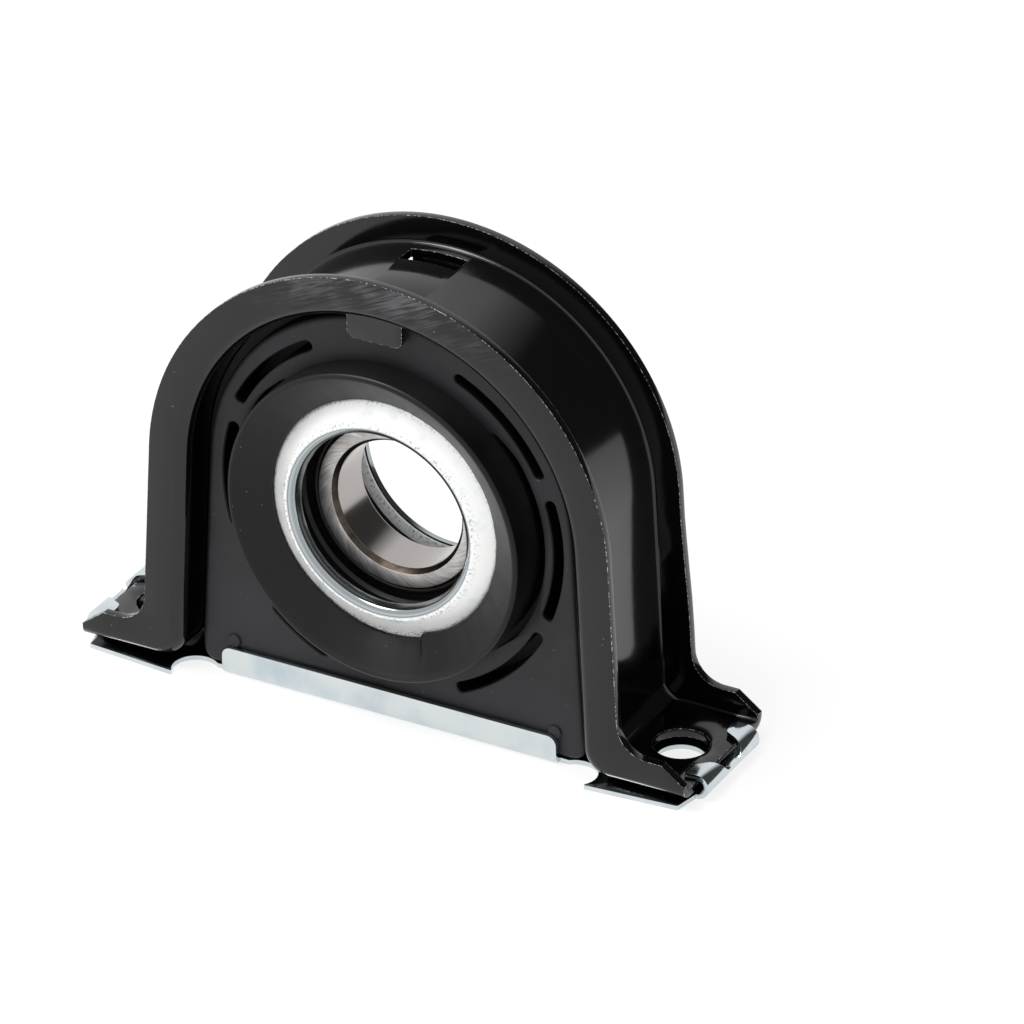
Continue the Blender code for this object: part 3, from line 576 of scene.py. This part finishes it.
def ground_steel():
    """Ground bearing steel: grey and bright, with the wheel's strokes slanting across the end faces."""
    material, skin = new_material("ground_bearing_steel", "#b3adaa", 0.42, 1.0)
    tree = material.node_tree
    place = add(tree, "ShaderNodeTexCoord").outputs["Object"]
    spoke, radius = from_shaft(tree, place, -1)
    split = add(tree, "ShaderNodeSeparateXYZ", {0: spoke}).outputs
    angle = add(tree, "ShaderNodeMath", {0: split["Z"], 1: split["X"]}, operation="ARCTAN2").outputs[0]
    lean = add(tree, "ShaderNodeMath", {0: radius, 1: 55.0, 2: angle}, operation="MULTIPLY_ADD").outputs[0]
    wrap = add(tree, "ShaderNodeMath", {0: lean, 1: 0.026}, operation="MULTIPLY").outputs[0]
    short = add(tree, "ShaderNodeMath", {0: radius, 1: 0.09}, operation="MULTIPLY").outputs[0]
    path = add(tree, "ShaderNodeCombineXYZ", {0: wrap, 1: short}).outputs[0]
    stroke = mottle(tree, path, 0.55, 3)
    cloud = mottle(tree, place, 11, 3)
    mixed = add(tree, "ShaderNodeMix", {0: 0.45, 2: stroke, 3: cloud}).outputs[0]
    tint = add(tree, "ShaderNodeValToRGB", {0: mixed}, stops=[(0.4, "#96928f"), (0.6, "#dedbd9")]).outputs[0]
    tree.links.new(tint, skin.inputs["Base Color"])
    bump = add(tree, "ShaderNodeBump", {"Strength": 0.35, "Distance": 0.0001, "Height": stroke}).outputs[0]
    tree.links.new(bump, skin.inputs["Normal"])
    return material


def honed_bore():
    """The bore's honed wall: smoother than the end faces, with fine rings round the axis."""
    material, skin = new_material("honed_bore_steel", "#aba6a3", 0.18, 1.0)
    tree = material.node_tree
    place = add(tree, "ShaderNodeTexCoord").outputs["Object"]
    rings = add(tree, "ShaderNodeMapping", {0: place, "Scale": (0.01, 1, 0.01)}).outputs[0]
    fine = mottle(tree, rings, 0.6, 3)
    bump = add(tree, "ShaderNodeBump", {"Strength": 0.08, "Distance": 0.0001, "Height": fine}).outputs[0]
    tree.links.new(bump, skin.inputs["Normal"])
    return material


def browned_chamfer():
    """The turned chamfer, left unground after hardening: a thin brown oxide over steel."""
    material, skin = new_material("browned_chamfer_steel", "#3c3631", 0.34, 1.0)
    tree = material.node_tree
    place = add(tree, "ShaderNodeTexCoord").outputs["Object"]
    cloud = mottle(tree, place, 6, 4)
    stops = [(0.35, "#332d28"), (0.65, "#5a5048")]
    tint = add(tree, "ShaderNodeValToRGB", {0: cloud}, stops=stops).outputs[0]
    tree.links.new(tint, skin.inputs["Base Color"])
    return material


def lapped_steel():
    """Lapped bearing balls: a mirror with a trace of haze."""
    material, skin = new_material("lapped_ball_steel", "#c9c9c9", 0.06, 1.0)
    tree = material.node_tree
    place = add(tree, "ShaderNodeTexCoord").outputs["Object"]
    haze = mottle(tree, place, 3, 3)
    gloss = add(tree, "ShaderNodeMapRange", {0: haze, 1: 0.3, 2: 0.7, 3: 0.04, 4: 0.1}).outputs[0]
    tree.links.new(gloss, skin.inputs["Roughness"])
    return material


def pressed_cage_steel():
    """Cold rolled strip of the cage: grey, with a dull tumbled surface."""
    material, skin = new_material("pressed_cage_steel", "#8f8b85", 0.35, 1.0)
    tree = material.node_tree
    place = add(tree, "ShaderNodeTexCoord").outputs["Object"]
    cloud = mottle(tree, place, 4, 4)
    gloss = add(tree, "ShaderNodeMapRange", {0: cloud, 1: 0.3, 2: 0.7, 3: 0.28, 4: 0.46}).outputs[0]
    tree.links.new(gloss, skin.inputs["Roughness"])
    return material


# Pressed steel bracket


def leg_x(z, out):
    """The x of the leg's cushion side at a height, or of a line further out from it."""
    flare = math.radians(FLARE)
    return (WEB_R + out) / math.cos(flare) - (z - ARCH_Z) * math.tan(flare)


def draw_strap(out, corner, foot_z, drop):
    """Half of the arch, its leg, the corner and the foot, at a distance out from the cushion side."""
    flare = math.radians(FLARE)
    pen = Pen(0, -HALF_DEPTH, ARCH_Z + WEB_R + out)
    pen.around((0, 0, ARCH_Z), FLARE - 90, 48)
    turn_z = foot_z + corner
    turn_x = leg_x(turn_z, out) + corner / math.cos(flare)
    pen.to((turn_x - corner * math.cos(flare), -HALF_DEPTH, turn_z - corner * math.sin(flare)), 6)
    pen.around((turn_x, 0, turn_z), 90 - FLARE, 12)
    pen.to((FOOT_X - TIP, -HALF_DEPTH, foot_z), 2)
    pen.to((FOOT_X, -HALF_DEPTH, foot_z - drop))


def lanced_tab(name, front):
    """A tab of the web's top, bent down over the rubber."""
    low, high = TAB_X - TAB_WIDTH / 2, TAB_X + TAB_WIDTH / 2
    outer = HALF_DEPTH - BEND
    near, far = sorted((front * outer, front * (outer - STEEL)))
    tab = block(name, (low, near, TAB_FOOT_Z), (high, far, ARCH_Z + WEB_R + 1.2))
    edit(tab)
    pick(tab, "edges", lambda at: at.z < TAB_FOOT_Z + 0.1)
    bm = bmesh.from_edit_mesh(tab.data)
    for item in bm.edges:
        item.select_set(item.select and abs(item.verts[0].co.x - item.verts[1].co.x) < 1e-6)
    bmesh.update_edit_mesh(tab.data)
    bpy.ops.mesh.bevel(offset=TAB_CORNER * MM, segments=5, affect="EDGES")
    object_mode()
    return tab


def bracket(paint, edge):
    piece = new_mesh("bracket_pressing", paint, edge)
    draw_strap(0, WEB_CORNER, FOOT_Z, 0)
    bpy.ops.mesh.select_all(action="SELECT")
    bpy.ops.mesh.extrude_region_move(TRANSFORM_OT_translate={"value": (0, HALF_DEPTH * MM, 0)})
    web_points = len(bmesh.from_edit_mesh(piece.data).verts)
    draw_strap(FLANGE_WIDTH, RIM_CORNER, RIM_FOOT_Z, TIP_DROP)
    front = -HALF_DEPTH * MM + 1e-6
    bpy.ops.mesh.select_mode(type="EDGE")
    bpy.ops.mesh.select_all(action="DESELECT")
    bm = bmesh.from_edit_mesh(piece.data)
    for item in bm.edges:
        in_web = [vert.index < web_points for vert in item.verts]
        item.select_set(all(vert.co.y < front for vert in item.verts) and in_web[0] == in_web[1])
    bmesh.update_edit_mesh(piece.data)
    bpy.ops.mesh.bridge_edge_loops()
    bpy.ops.mesh.select_all(action="DESELECT")
    bm = bmesh.from_edit_mesh(piece.data)
    for item in bm.edges:
        if len(item.link_faces) == 2 and all(vert.co.y < front for vert in item.verts):
            item.select_set(any(abs(face.normal.y) < 0.5 for face in item.link_faces))
    bmesh.update_edit_mesh(piece.data)
    bpy.ops.mesh.bevel(offset=BEND * MM, segments=7, profile=0.5, affect="EDGES")
    tool(piece, "MIRROR", use_axis=(True, True, False), merge_threshold=0.01 * MM)
    for vert in piece.data.vertices:
        at = vert.co / MM
        out = Vector((at.x, 0, max(at.z - ARCH_Z, 0)))
        if at.y > HALF_DEPTH - 0.01 and out.length > WEB_R + BEND + 1:
            vert.co -= out.normalized() * REAR_TRIM * ramp(at.z, 40, 70) * MM
    fix_normals(piece)
    face_out(piece, (0, -1, 0))
    thicken(piece, STEEL)
    for front in (-1, 1):
        near, far = sorted((front * LANCE_Y, front * (LANCE_Y - LANCE)))
        half = TAB_WIDTH / 2 + GAP
        cut(piece, block("lance", (TAB_X - half, near, 130), (TAB_X + half, far, 160)))
        cut(piece, lanced_tab("tab", front), "UNION")
    for foot in (-1, 1):
        cut(piece, bar("bolt_hole", (foot * BOLT_X, 0, 5), BOLT_R, 12))
    ease_edges(piece, BURR, material=1)
    finish(piece, "housing", "black_paint", "bracket")


# Zinc plated base plate


def draw_plate():
    """One quarter of the plate's outline, in its underside's plane, filled."""
    x, y = RELIEF
    neck = math.asin((-y - NECK_Y) / RELIEF_R)
    pad = math.asin((PAD_Y + y) / RELIEF_R)
    pen = Pen(0, -NECK_Y, 0)
    pen.to((LIP_X, -NECK_Y, 0)).to((x - RELIEF_R * math.cos(neck), -NECK_Y, 0))
    pen.around((x, y, 0), 180 - math.degrees(neck - pad), 20, (0, 0, 1))
    pen.through((107.5, -26.8, 0, 0.8), (ROLL_X, -ROLL_Y, 0, 0), steps=3)
    pen.to((ROLL_X, -NOTCH_Y, 0)).to((ROLL_X, 0, 0)).to((0, 0, 0)).to((0, -NECK_Y, 0))
    bpy.ops.mesh.select_all(action="SELECT")
    bpy.ops.mesh.remove_doubles(threshold=0.01 * MM)
    bpy.ops.mesh.edge_face_add()


def base_plate(zinc):
    piece = new_mesh("base_plate_pressing", zinc)
    draw_plate()
    pick(piece, "verts", lambda at: abs(at.y + PAD_Y) < 0.01 and at.x < 100)
    bpy.ops.mesh.bevel(offset=1.3 * MM, segments=4, affect="VERTICES")
    pick(piece, "edges", lambda at: abs(at.y + NECK_Y) < 0.01 and at.x < LIP_X + 0.01)
    middle = (0, -NECK_Y * MM, LIP_BEND * MM)
    bpy.ops.mesh.spin(steps=6, angle=math.pi / 2, center=middle, axis=(1, 0, 0))
    bpy.ops.mesh.extrude_region_move(TRANSFORM_OT_translate={"value": (0, 0, (LIP_Z - LIP_BEND) * MM)})
    pick(piece, "verts", lambda at: at.z > LIP_Z - 0.01 and at.x > LIP_X - 0.01)
    bpy.ops.mesh.bevel(offset=3.2 * MM, segments=6, affect="VERTICES")
    pick(piece, "edges", lambda at: abs(at.x - ROLL_X) < 0.01 and at.y > -ROLL_Y - 0.01)
    middle = (ROLL_X * MM, 0, ROLL_R * MM)
    bpy.ops.mesh.spin(steps=10, angle=math.pi / 2, center=middle, axis=(0, 1, 0))
    half_way = ROLL_X + ROLL_R
    pick(piece, "edges", lambda at: abs(at.x - half_way) < 0.01 and at.y < -NOTCH_Y + 0.01)
    bpy.ops.mesh.spin(steps=10, angle=math.pi / 2, center=middle, axis=(0, 1, 0))
    for _ in range(4):
        step = (-ROLL_FLAT / 4 * MM, 0, 0)
        bpy.ops.mesh.extrude_region_move(TRANSFORM_OT_translate={"value": step})
    bm = bmesh.from_edit_mesh(piece.data)
    length = math.pi / 2 * ROLL_R + ROLL_FLAT
    for vert in bm.verts:
        at = vert.co / MM
        if abs(at.y + NOTCH_Y) > 0.01 or at.z < ROLL_R + 0.01:
            continue
        if at.x > ROLL_X:
            along = ROLL_R * math.atan2(at.z - ROLL_R, at.x - ROLL_X)
        else:
            along = math.pi / 2 * ROLL_R + ROLL_X - at.x
        opening = 0.5 * along / length + 0.5 * (along / length) ** 0.5
        vert.co.y = -(NOTCH_Y + (NOTCH_TOP_Y - NOTCH_Y) * opening) * MM
    bmesh.update_edit_mesh(piece.data)
    free = ROLL_X - ROLL_FLAT
    pick(piece, "verts", lambda at: at.z > ROLL_R and abs(at.x - free) < 0.01 and at.y > -NOTCH_TOP_Y - 0.1)
    bpy.ops.mesh.bevel(offset=3.0 * MM, segments=6, affect="VERTICES")
    pick(piece, "verts", lambda at: at.z > ROLL_R and abs(at.x - free) < 0.01 and at.y < -ROLL_Y + 0.1)
    bpy.ops.mesh.bevel(offset=1.5 * MM, segments=5, affect="VERTICES")
    tool(piece, "MIRROR", use_axis=(True, True, False), merge_threshold=0.01 * MM)
    fix_normals(piece)
    face_out(piece, (0, 0, -1))
    thicken(piece, PLATE)
    for foot in (-1, 1):
        cut(piece, bar("bolt_hole", (foot * BOLT_X, 0, PLATE / 2), PLATE_HOLE_R, 3 * PLATE))
    ease_edges(piece, 0.3)
    finish(piece, "housing", "zinc_plate", "base_plate")


# Rubber cushion


def arch_block(name, radius, half, *materials):
    """An upside down U, from front to rear."""
    piece = new_mesh(name, *materials)
    flare = math.radians(FLARE)
    y = -half
    foot_x = radius / math.cos(flare) + (ARCH_Z - CUSHION_BASE) * math.tan(flare)
    pen = Pen(0, y, ARCH_Z + radius)
    pen.around((0, 0, ARCH_Z), FLARE - 90, 56)
    side = pen.at.copy()
    feet = [(end * foot_x, y, CUSHION_BASE, CUSHION_CORNER) for end in (1, -1)]
    pen.through(*feet, (-side.x, y, side.z, 0))
    pen.around((0, 0, ARCH_Z), FLARE - 90, 56)
    bpy.ops.mesh.select_all(action="SELECT")
    bpy.ops.mesh.remove_doubles(threshold=0.01 * MM)
    bpy.ops.mesh.edge_face_add()
    bpy.ops.mesh.extrude_region_move(TRANSFORM_OT_translate={"value": (0, 2 * half * MM, 0)})
    fix_normals(piece)
    return piece


def slot_cutter(start, end, right, drop, front):
    """An arc shaped slot with round ends, whose mouth opens out a little."""
    piece = new_mesh("slot")
    low, high = math.radians(start), math.radians(end)
    half, flare, floor, face, above = 1.85, 0.4, 4.3, FACE_Y, FACE_Y + 0.8
    centre = Vector((right, 0, AXIS_Z - drop))

    def place(angle, out, depth):
        radius = SLOT_R + out
        return centre + Vector((radius * math.cos(angle), front * depth, radius * math.sin(angle)))

    outer = [(half, floor), (half, face - flare), (half + flare, face + 0.05), (half + flare, above)]
    inner = [(-out, depth) for out, depth in reversed(outer)]
    pen = Pen(*place(low, *outer[0]))
    for out, depth in (*outer[1:], *inner, outer[0]):
        pen.to(place(low, out, depth))
    bpy.ops.mesh.select_all(action="SELECT")
    steps = max(6, round((end - start) / 2.5))
    bpy.ops.mesh.spin(steps=steps, angle=high - low, center=centre * MM, axis=(0, 1, 0))
    for angle, turn in ((high, math.pi), (low, -math.pi)):
        middle = place(angle, 0, 0)
        pen = Pen(*place(angle, 0, floor))
        for out, depth in (*outer, (0, above)):
            pen.to(place(angle, out, depth))
        bpy.ops.mesh.select_linked()
        bpy.ops.mesh.spin(steps=10, angle=turn, center=middle * MM, axis=(0, 1, 0))
    fix_normals(piece)
    return piece


def moat_cutter(side, front):
    """The groove along one side of the boss, which runs out shallow and narrow at both ends."""
    piece = new_mesh("moat")
    turn, steps, top = 49, 56, FACE_Y + 0.6
    start = math.radians(side - turn)
    centre = Vector((0, 0, AXIS_Z))
    way = Vector((math.cos(start), 0, math.sin(start)))
    corners = [(0, 9.6), (2.6, 9.6), (2.6, 17.5), (2.8, 18.0), (3.3, 18.3), (3.3, top), (0, top), (0, 9.6)]
    pen = Pen(*(centre + way * BOSS_FOOT_R + Vector((0, front * 9.6, 0))))
    for out, depth in corners[1:]:
        pen.to(centre + way * (BOSS_FOOT_R + out) + Vector((0, front * depth, 0)))
    bpy.ops.mesh.select_all(action="SELECT")
    bpy.ops.mesh.spin(steps=steps, angle=math.radians(2 * turn), center=centre * MM, axis=(0, 1, 0))
    fix_normals(piece)
    for vert in piece.data.vertices:
        at = vert.co / MM - centre
        radius = math.hypot(at.x, at.z)
        off = math.degrees(math.atan2(at.z, at.x)) - side
        off = abs((off + 180) % 360 - 180)
        full = ramp(off, turn, turn - 15)
        wide = (0.15 + 0.85 * math.sqrt(full)) * (0.8 if side == 180 else 1)
        deep = max(full * full * (3 - 2 * full), 0.02)
        scale = (BOSS_FOOT_R + (radius - BOSS_FOOT_R) * wide) / radius
        depth = front * (top + (abs(at.y) - top) * deep)
        vert.co = (Vector((at.x * scale, depth, at.z * scale)) + centre) * MM
    edit(piece)
    bpy.ops.mesh.select_mode(type="EDGE")
    bpy.ops.mesh.select_non_manifold()
    bpy.ops.mesh.fill()
    fix_normals(piece)
    return piece


def boss(rubber):
    """The rubber round the retainer. It laps the ring's face, and stands out as a thick lopsided roll."""
    lap_r, lap_y = 41.3, 20.4
    front = [
        (BOSS_INNER_R, 6.0, 0),
        (BOSS_INNER_R, 18.36, 3.2),
        (lap_r, lap_y, 0),
        (lap_r + 0.1, lap_y + 0.85, 0.25),
        (49.5, 28.3, 1.5),
        (51.0, 28.3, 1.2),
        (53.6, 15.8, 0),
        (52.0, 6.0, 0),
    ]
    profile = [(r, -along, corner) for r, along, corner in front]
    made = turned("boss", [rubber], *profile, steps=240, rounds=5)
    for vert in made.data.vertices:
        at = vert.co / MM
        radius = from_axis(at)
        angle = math.degrees(math.atan2(at.z - AXIS_Z, at.x))
        way = Vector((at.x, 0, at.z - AXIS_Z)).normalized()
        if radius > 43.6 and at.y < -19:
            heavy = 1.7 + 1.2 * math.cos(math.radians(angle + 115))
            heavy += 1.2 * math.cos(math.radians(2 * (angle - 105)))
            heavy += 1.1 * max(-way.x, 0.0) ** 2
            vert.co += way * heavy * ramp(radius, 43.6, 48.6) * ramp(at.y, -19, -27) * MM
        if radius < 41.75 and at.y < -20:
            ragged = 0.16 * noise.noise(Vector((angle * 0.16, 3.1, 0)))
            ragged += 0.1 * noise.noise(Vector((angle * 0.9, 7.7, 0)))
            ragged -= 0.9 * way.x**2
            torn = ramp(angle, -120, -98) * ramp(angle, -71.5, -73.1)
            flap = ramp(angle, -73.1, -71.5) * ramp(angle, -58, -70)
            out = ragged + 1.75 * torn - 0.6 * flap
            vert.co += (way * out + Vector((0, 0.56 * out, 0))) * MM
    return made


def rubber_cushion(rubber):
    piece = arch_block("rubber_cushion_moulding", CUSHION_R, SKIRT_Y, rubber)
    face = arch_block("face", CUSHION_R - 3.2, FACE_Y)
    edit(face)
    for side in (-1, 1):
        pick(face, "edges", lambda at: abs(at.y - side * FACE_Y) < 0.01)
        bpy.ops.mesh.bevel(offset=1.9 * MM, segments=4, affect="EDGES")
    cut(piece, face, "UNION")
    cut(piece, bar("bearing_hole", (0, 0, AXIS_Z), CUSHION_HOLE_R, 60, "Y", 160))
    front_boss = boss(rubber)
    rear_boss = rear_copy(front_boss, "rear_boss")
    cut(piece, front_boss, "UNION")
    cut(piece, rear_boss, "UNION")
    middle = [(BOSS_INNER_R, -7.0, 0), (50.5, -7.0, 0), (50.5, 7.0, 0), (BOSS_INNER_R, 7.0, 0)]
    cut(piece, turned("core", [rubber], *middle), "UNION")
    for front in (-1, 1):
        for start, end, right, drop in SLOTS:
            cut(piece, slot_cutter(start, end, right, drop, front))
        for side in (0, 180):
            cut(piece, moat_cutter(side, front))
    for x, z in ((-57.7, 12.1), (59.5, 10.8)):
        nub = bar("nub", (x, -FACE_Y - 0.1, z), 2.3, 1.6, "Y", 40)
        edit(nub)
        pick(nub, "edges", lambda at: at.y < -FACE_Y - 0.5)
        bpy.ops.mesh.bevel(offset=0.4 * MM, segments=3, affect="EDGES")
        cut(piece, nub, "UNION")
    finish(piece, "housing", "moulded_rubber", "rubber_cushion", smooth=40)


# Retainer ring


def retainers(zinc):
    """The two cups of the retainer. The front one's rim is curled back into the bore."""
    cup = [(RETAINER_R, -0.15, 0), (RETAINER_R, -18.2, 3.6), (41.0, -20.1, 5.0)]
    curls = {"front": [(33.5, -25.6, 1.5), (31.0, -23.9, 1.5), (30.3, -20.8, 0)]}
    curls["rear"] = [(33.4, -25.4, 0.9), (32.0, -25.2, 0)]
    for name, curl in curls.items():
        piece = turned(name + "_retainer_pressing", [zinc], *cup, *curl, rounds=8, closed=False)
        face_out(piece, (0, -1, 0))
        thicken(piece, SHEET)
        ease_edges(piece, 0.3, 3)
        if name == "rear":
            piece.data.transform(Matrix.Diagonal((1, -1, 1, 1)))
            piece.data.flip_normals()
        finish(piece, "housing", "zinc_plate", "retainer_" + name)


# Bearing


def inner_ring(steel, bore, brown):
    front, rear = BEARING_Y - RING_HALF, BEARING_Y + RING_HALF
    chord = math.sqrt(GROOVE_R**2 - (PITCH_R - LAND_R) ** 2)
    piece = new_mesh("inner_ring_ground", steel, bore, brown)
    mouth = BORE_R + 1.4
    open_angle = math.degrees(2 * math.acos((PITCH_R - LAND_R) / GROOVE_R))
    pen = Pen(BORE_R, BEARING_Y, AXIS_Z)
    corners = [(BORE_R, front + 1.9, 0.5), (mouth, front, 0.25), (LAND_R, front, 0.4)]
    corners.append((LAND_R, BEARING_Y - chord, 0))
    pen.through(*[(r, along, AXIS_Z, corner) for r, along, corner in corners], steps=4)
    pen.around((PITCH_R, BEARING_Y, AXIS_Z), open_angle, 16, (0, 0, 1))
    corners = [(LAND_R, rear, 0.4), (mouth, rear, 0.25), (BORE_R, rear - 1.9, 0.5), (BORE_R, BEARING_Y, 0)]
    pen.through(*[(r, along, AXIS_Z, corner) for r, along, corner in corners], steps=4)
    bpy.ops.mesh.select_all(action="SELECT")
    bpy.ops.mesh.spin(steps=160, angle=2 * math.pi, center=(0, 0, AXIS_Z * MM), axis=(0, 1, 0))
    fix_normals(piece)
    for face in piece.data.polygons:
        at = face.center / MM
        radius = from_axis(at)
        if radius < BORE_R + 0.12:
            face.material_index = 1
        elif radius < mouth - 0.12:
            face.material_index = 2
    finish(piece, "inner_ring", "bearing_steel", "inner_ring")


def seals(rubber):
    """A disc with a lip pressed in it, and the packing between the outer ring and the retainer."""
    lip = [(29.05, 7.85, 0), (29.05, 8.7, 0.3), (29.6, 9.25, 0.3), (30.4, 9.25, 0.2), (30.8, 8.8, 0.2)]
    disc = [*lip, (33.4, 8.9, 0.4), (34.5, 10.0, 0.5)]
    packing = [(35.4, 20.6, 0.6), (35.6, 21.5, 0.2), (39.9, 18.5, 0), (42.3, 16.4, 0)]
    heel = [(42.3, 9.85, 0), (37.2, 9.85, 0), (37.2, 7.85, 0)]
    for name, side in (("front_seal", -1), ("rear_seal", 1)):
        run = [(r, BEARING_Y + side * out, corner) for r, out, corner in disc]
        run += [(r, side * along, corner) for r, along, corner in packing]
        run += [(r, BEARING_Y + side * out, corner) for r, out, corner in heel]
        piece = turned(name + "_moulding", [rubber], *run, rounds=3)
        finish(piece, "housing", "seal_rubber", name)


# Scene


def light_softly():
    """A white studio, dim at the back right, so that the bright metal and the gloss show their forms."""
    world = bpy.data.worlds.new("studio")
    bpy.context.scene.world = world
    world.use_nodes = True
    tree = world.node_tree
    tree.nodes.remove(tree.nodes["Background"])
    way = add(tree, "ShaderNodeTexCoord").outputs["Generated"]
    split = add(tree, "ShaderNodeSeparateXYZ", {0: way}).outputs
    left = add(tree, "ShaderNodeMapRange", {0: split["X"], 1: 0.3, 2: -0.05}).outputs[0]
    near = add(tree, "ShaderNodeMapRange", {0: split["Y"], 1: -0.05, 2: -0.3}).outputs[0]
    lit = add(tree, "ShaderNodeMath", {0: left, 1: near}, operation="MAXIMUM").outputs[0]
    level = add(tree, "ShaderNodeMapRange", {0: lit, 3: 0.06, 4: 1.0}).outputs[0]
    dome = add(tree, "ShaderNodeBackground", {0: (1, 1, 1, 1), 1: level}).outputs[0]
    white = add(tree, "ShaderNodeBackground", {0: (1, 1, 1, 1), 1: 1.0}).outputs[0]
    seen = add(tree, "ShaderNodeLightPath").outputs["Is Camera Ray"]
    mixed = add(tree, "ShaderNodeMixShader", {0: seen, 1: dome, 2: white}).outputs[0]
    tree.links.new(mixed, tree.nodes["World Output"].inputs["Surface"])


def lamp(name, place, aim, size, watts):
    made = bpy.data.objects.new(name, bpy.data.lights.new(name, "AREA"))
    made.data.size = size * MM
    made.data.energy = watts
    made.location = Vector(place) * MM
    made.rotation_euler = ((Vector(aim) - Vector(place)) * MM).to_track_quat("-Z", "Y").to_euler()
    bpy.context.scene.collection.objects.link(made)


def lay_floor():
    """A white floor that looks white from the camera and in the metal, and still takes the part's shadow."""
    object_mode()
    bpy.ops.mesh.primitive_plane_add(size=8, location=(0, 0, 0))
    floor = bpy.context.object
    floor.name = "floor"
    material, skin = new_material("white_floor", "#ffffff", 0.9)
    skin.inputs["Specular IOR Level"].default_value = 0.0
    tree = material.node_tree
    ray = add(tree, "ShaderNodeLightPath").outputs
    seen = ray["Is Camera Ray"]
    for other in ("Is Glossy Ray", "Is Transmission Ray"):
        seen = add(tree, "ShaderNodeMath", {0: seen, 1: ray[other]}, operation="MAXIMUM").outputs[0]
    share = add(tree, "ShaderNodeMath", {0: seen, 1: 0.8}, operation="MULTIPLY").outputs[0]
    white = add(tree, "ShaderNodeEmission", {0: (1, 1, 1, 1), 1: 1.0}).outputs[0]
    mixed = add(tree, "ShaderNodeMixShader", {0: share, 1: skin.outputs[0], 2: white}).outputs[0]
    tree.links.new(mixed, tree.nodes["Material Output"].inputs["Surface"])
    floor.data.materials.append(material)


def main():
    bpy.context.scene.view_settings.view_transform = "Standard"
    set_up_camera()
    paint, zinc, rubber = dip_painted_steel(), bright_zinc(), moulded_rubber()
    steel, seal, ball, cage = ground_steel(), seal_rubber(), lapped_steel(), pressed_cage_steel()
    finishes = {"outer_ring": steel, "cage_front": cage, "cage_rear": cage}
    for name, node in frame["nodes"].items():
        node.data.materials.clear()
        node.data.materials.append(finishes.get(name, ball))
    bracket(paint, sheared_edge())
    base_plate(zinc)
    rubber_cushion(rubber)
    retainers(hazy_zinc())
    inner_ring(steel, honed_bore(), browned_chamfer())
    seals(seal)
    lay_floor()
    light_softly()
    lamp("window", place=(-700, -500, 1700), aim=(0, 0, 70), size=900, watts=26)
    bpy.context.view_layer.update()


main()
